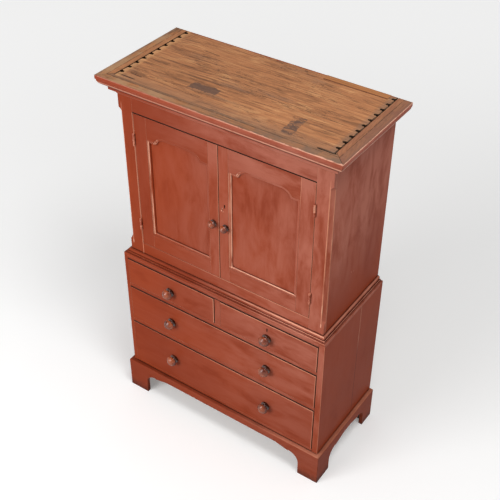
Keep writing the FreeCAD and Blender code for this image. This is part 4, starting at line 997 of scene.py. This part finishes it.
def add_plate(shape, place, outline, height):
    """A thin plate over an outline, smaller above than below."""
    lower = [shape.verts.new(place @ Vector((x, y, 0))) for x, y in outline]
    upper = [shape.verts.new(place @ Vector((x * HEAD_TAPER, y * HEAD_TAPER, height)))
             for x, y in outline]
    shape.faces.new(upper)
    shape.faces.new(list(reversed(lower)))
    for index, corner in enumerate(lower):
        shape.faces.new((lower[index - 1], corner, upper[index], upper[index - 1]))


def screw_outlines():
    """The two halves of a round head on both sides of its slot."""
    reach = math.acos(SCREW_SLOT_HALF / SCREW_RADIUS)
    count = 7
    half = [(SCREW_RADIUS * math.cos(angle), SCREW_RADIUS * math.sin(angle))
            for angle in (reach * (2 * step / (count - 1) - 1) for step in range(count))]
    return [half, [(-x, -y) for x, y in half]]


def nail_outlines():
    count = 8
    turns = [math.tau * step / count for step in range(count)]
    return [[(NAIL_RADIUS * math.cos(turn), NAIL_RADIUS * math.sin(turn)) for turn in turns]]


def iron_heads(name, body, heads, outlines):
    """One piece with a head at each place, turned about its own axis a little more each time."""
    shape = bmesh.new()
    for index, (place, outward) in enumerate(heads):
        facing = Vector(outward).to_track_quat("Z", "Y").to_matrix().to_4x4()
        turn = Matrix.Rotation(index * HEAD_TURN, 4, "Z")
        for outline in outlines:
            add_plate(shape, Matrix.Translation(place) @ facing @ turn, outline, HEAD_HEIGHT)
    mesh = bpy.data.meshes.new(name)
    shape.to_mesh(mesh)
    shape.free()
    made = bpy.data.objects.new(name, mesh)
    bpy.context.scene.collection.objects.link(made)
    mesh.materials.append(iron_material(name, 97.0 + len(heads), 0.0))
    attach(made, body)


def hinge_screws(name, body, sides, towards):
    """Three screws to a leaf: towards is 1 for the frame's leaves and -1 for the doors'."""
    low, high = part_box("hinge_frame_leaves")
    heads = []
    for side in sides:
        face = (HINGE_LINE + LEAF_GAP / 2 * towards) * side
        for foot in (low.z, high.z - HINGE_HEIGHT):
            for step, stagger in enumerate((1, -1, 1)):
                y = high.y - LEAF_MIDDLE + stagger * SCREW_STAGGER
                z = foot + HINGE_HEIGHT * (step + 0.5) / 3
                heads.append(((face, y, z), (-side * towards, 0, 0)))
    iron_heads(name, body, heads, screw_outlines())


def lock_screws(name, body, case):
    """Four screws in the corners of a lock's back plate."""
    low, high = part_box(case)
    heads = [((x, high.y, z), (0, 1, 0))
             for x in (low.x + LOCK_SCREW_INSET, high.x - LOCK_SCREW_INSET)
             for z in (low.z + LOCK_SCREW_INSET, high.z - LOCK_SCREW_INSET)]
    iron_heads(name, body, heads, screw_outlines())


def back_nails(name, boards, levels):
    """Two nails to each board at each level."""
    low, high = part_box(boards)
    pitch = (high.x - low.x) / BACK_BOARD_COUNT
    heads = [((low.x + pitch * (index + share), high.y, level), (0, 1, 0))
             for level in levels for index in range(BACK_BOARD_COUNT) for share in NAIL_SHARES]
    iron_heads(name, "cupboard", heads, nail_outlines())


hinge_screws("hinge_screws_frame", "cupboard", (-1, 1), 1)
hinge_screws("hinge_screws_left_door", "left_door", (-1,), -1)
hinge_screws("hinge_screws_right_door", "right_door", (1,), -1)
lock_screws("door_lock_screws", "right_door", "door_lock_case")
lock_screws("drawer_lock_screws", "right_short_drawer", "drawer_lock_case")
shelf_low, shelf_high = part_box("cupboard_shelves")
back_nails("upper_back_nails", "upper_back_boards", (
    UPPER_BACK_FOOT, shelf_low.z + SHELF_MIDDLE, shelf_high.z - SHELF_MIDDLE, UPPER_BACK_HEAD))
back_nails("lower_back_nails", "lower_back_boards", LOWER_BACK_LEVELS)


# Floor, light and camera
FLOOR_SIZE = 60
EVEN_LIGHT = 0.34


def floor_material():
    """Pale where it is seen, darker for the light that it throws back, and white far off."""
    shader = Shader("pale_floor")
    shown = shader.shown()
    tone = shader.noise((0.6, 0.6, 0.6), 2.0, 2)
    colour = shader.mix(shown, FLOOR_BOUNCE, FLOOR)
    away = (shader.x * shader.x + shader.y * shader.y).maths("SQRT")
    near = shader.mix(away.rise(0.5, 5.5), FLOOR_LIFT, FLOOR_LIFT_FAR)
    lift = shader.mix(shown, BLACK, shader.mix(away.rise(4.5, 16.0), near, BACKDROP))
    normal = shader.bump(tone, 0.1 * MM)
    return shader.finish(colour, 0.8, normal, Specular_IOR_Level=0.1,
                         Emission_Color=lift, Emission_Strength=1.0)


half = FLOOR_SIZE / 2
floor_mesh = bpy.data.meshes.new("floor")
floor_mesh.from_pydata([(-half, -half, 0), (half, -half, 0), (half, half, 0), (-half, half, 0)],
                       [], [(0, 1, 2, 3)])
floor_mesh.materials.append(floor_material())
floor = bpy.data.objects.new("floor", floor_mesh)
bpy.context.scene.collection.objects.link(floor)


def soft_light(name, location, aim, size, power):
    """A round lamp of white light, turned to what it aims at."""
    lamp = bpy.data.lights.new(name, "AREA")
    lamp.shape = "DISK"
    lamp.size = size
    lamp.energy = power
    made = bpy.data.objects.new(name, lamp)
    made.location = location
    made.rotation_euler = (Vector(aim) - Vector(location)).to_track_quat("-Z", "Y").to_euler()
    bpy.context.scene.collection.objects.link(made)


soft_light("key_light", (-1.6, -4.8, 3.6), (0, 0, 1.1), 3.4, 142)
soft_light("low_light", (-2.2, -4.0, 1.3), (0, 0, 0.9), 1.8, 48)
soft_light("top_light", (1.6, -1.0, 5.1), (0, 0, 1.3), 1.6, 86)
soft_light("fill_light", (3.0, -0.8, 3.0), (0.5, 0, 1.3), 1.6, 14)


def studio_world():
    """White round the horizon and dim overhead for what is seen, and even light for the rest."""
    world = bpy.data.worlds.new("studio")
    bpy.context.scene.world = world
    world.use_nodes = True
    tree = Nodes(world.node_tree)
    direction = tree.node("ShaderNodeTexCoord").outputs["Generated"]
    split = tree.node("ShaderNodeSeparateXYZ", {}, {0: direction})
    overhead = Value(tree, split.outputs["Z"]).rise(0.12, 0.60)
    seen = tree.node("ShaderNodeBackground", {}, {
        "Color": tree.mix(overhead, BACKDROP, CEILING), "Strength": 1.0})
    even = tree.node("ShaderNodeBackground", {}, {"Color": BACKDROP, "Strength": EVEN_LIGHT})
    both = tree.node("ShaderNodeMixShader", {}, {
        0: tree.shown(), 1: even.outputs[0], 2: seen.outputs[0]})
    tree.node("ShaderNodeOutputWorld", {}, {"Surface": both.outputs[0]})


studio_world()

# The photograph's camera: place in metres, angles in degrees, lens and sensor in millimetres
CAMERA_PLACE = (1.9412, -2.8278, 3.7831)
CAMERA_AZIMUTH = 34.35
CAMERA_ELEVATION = 38.63
CAMERA_ROLL = 0.31
FOCAL_LENGTH = 66.56
SENSOR = 36

camera_data = bpy.data.cameras.new("camera")
camera_data.lens = FOCAL_LENGTH
camera_data.sensor_width = SENSOR
camera = bpy.data.objects.new("camera", camera_data)
camera.matrix_world = (
    Matrix.Translation(CAMERA_PLACE)
    @ Matrix.Rotation(math.radians(CAMERA_AZIMUTH), 4, "Z")
    @ Matrix.Rotation(math.radians(90 - CAMERA_ELEVATION), 4, "X")
    @ Matrix.Rotation(math.radians(CAMERA_ROLL), 4, "Z"))
bpy.context.scene.collection.objects.link(camera)
bpy.context.scene.camera = camera
bpy.context.scene.view_settings.view_transform = "Standard"
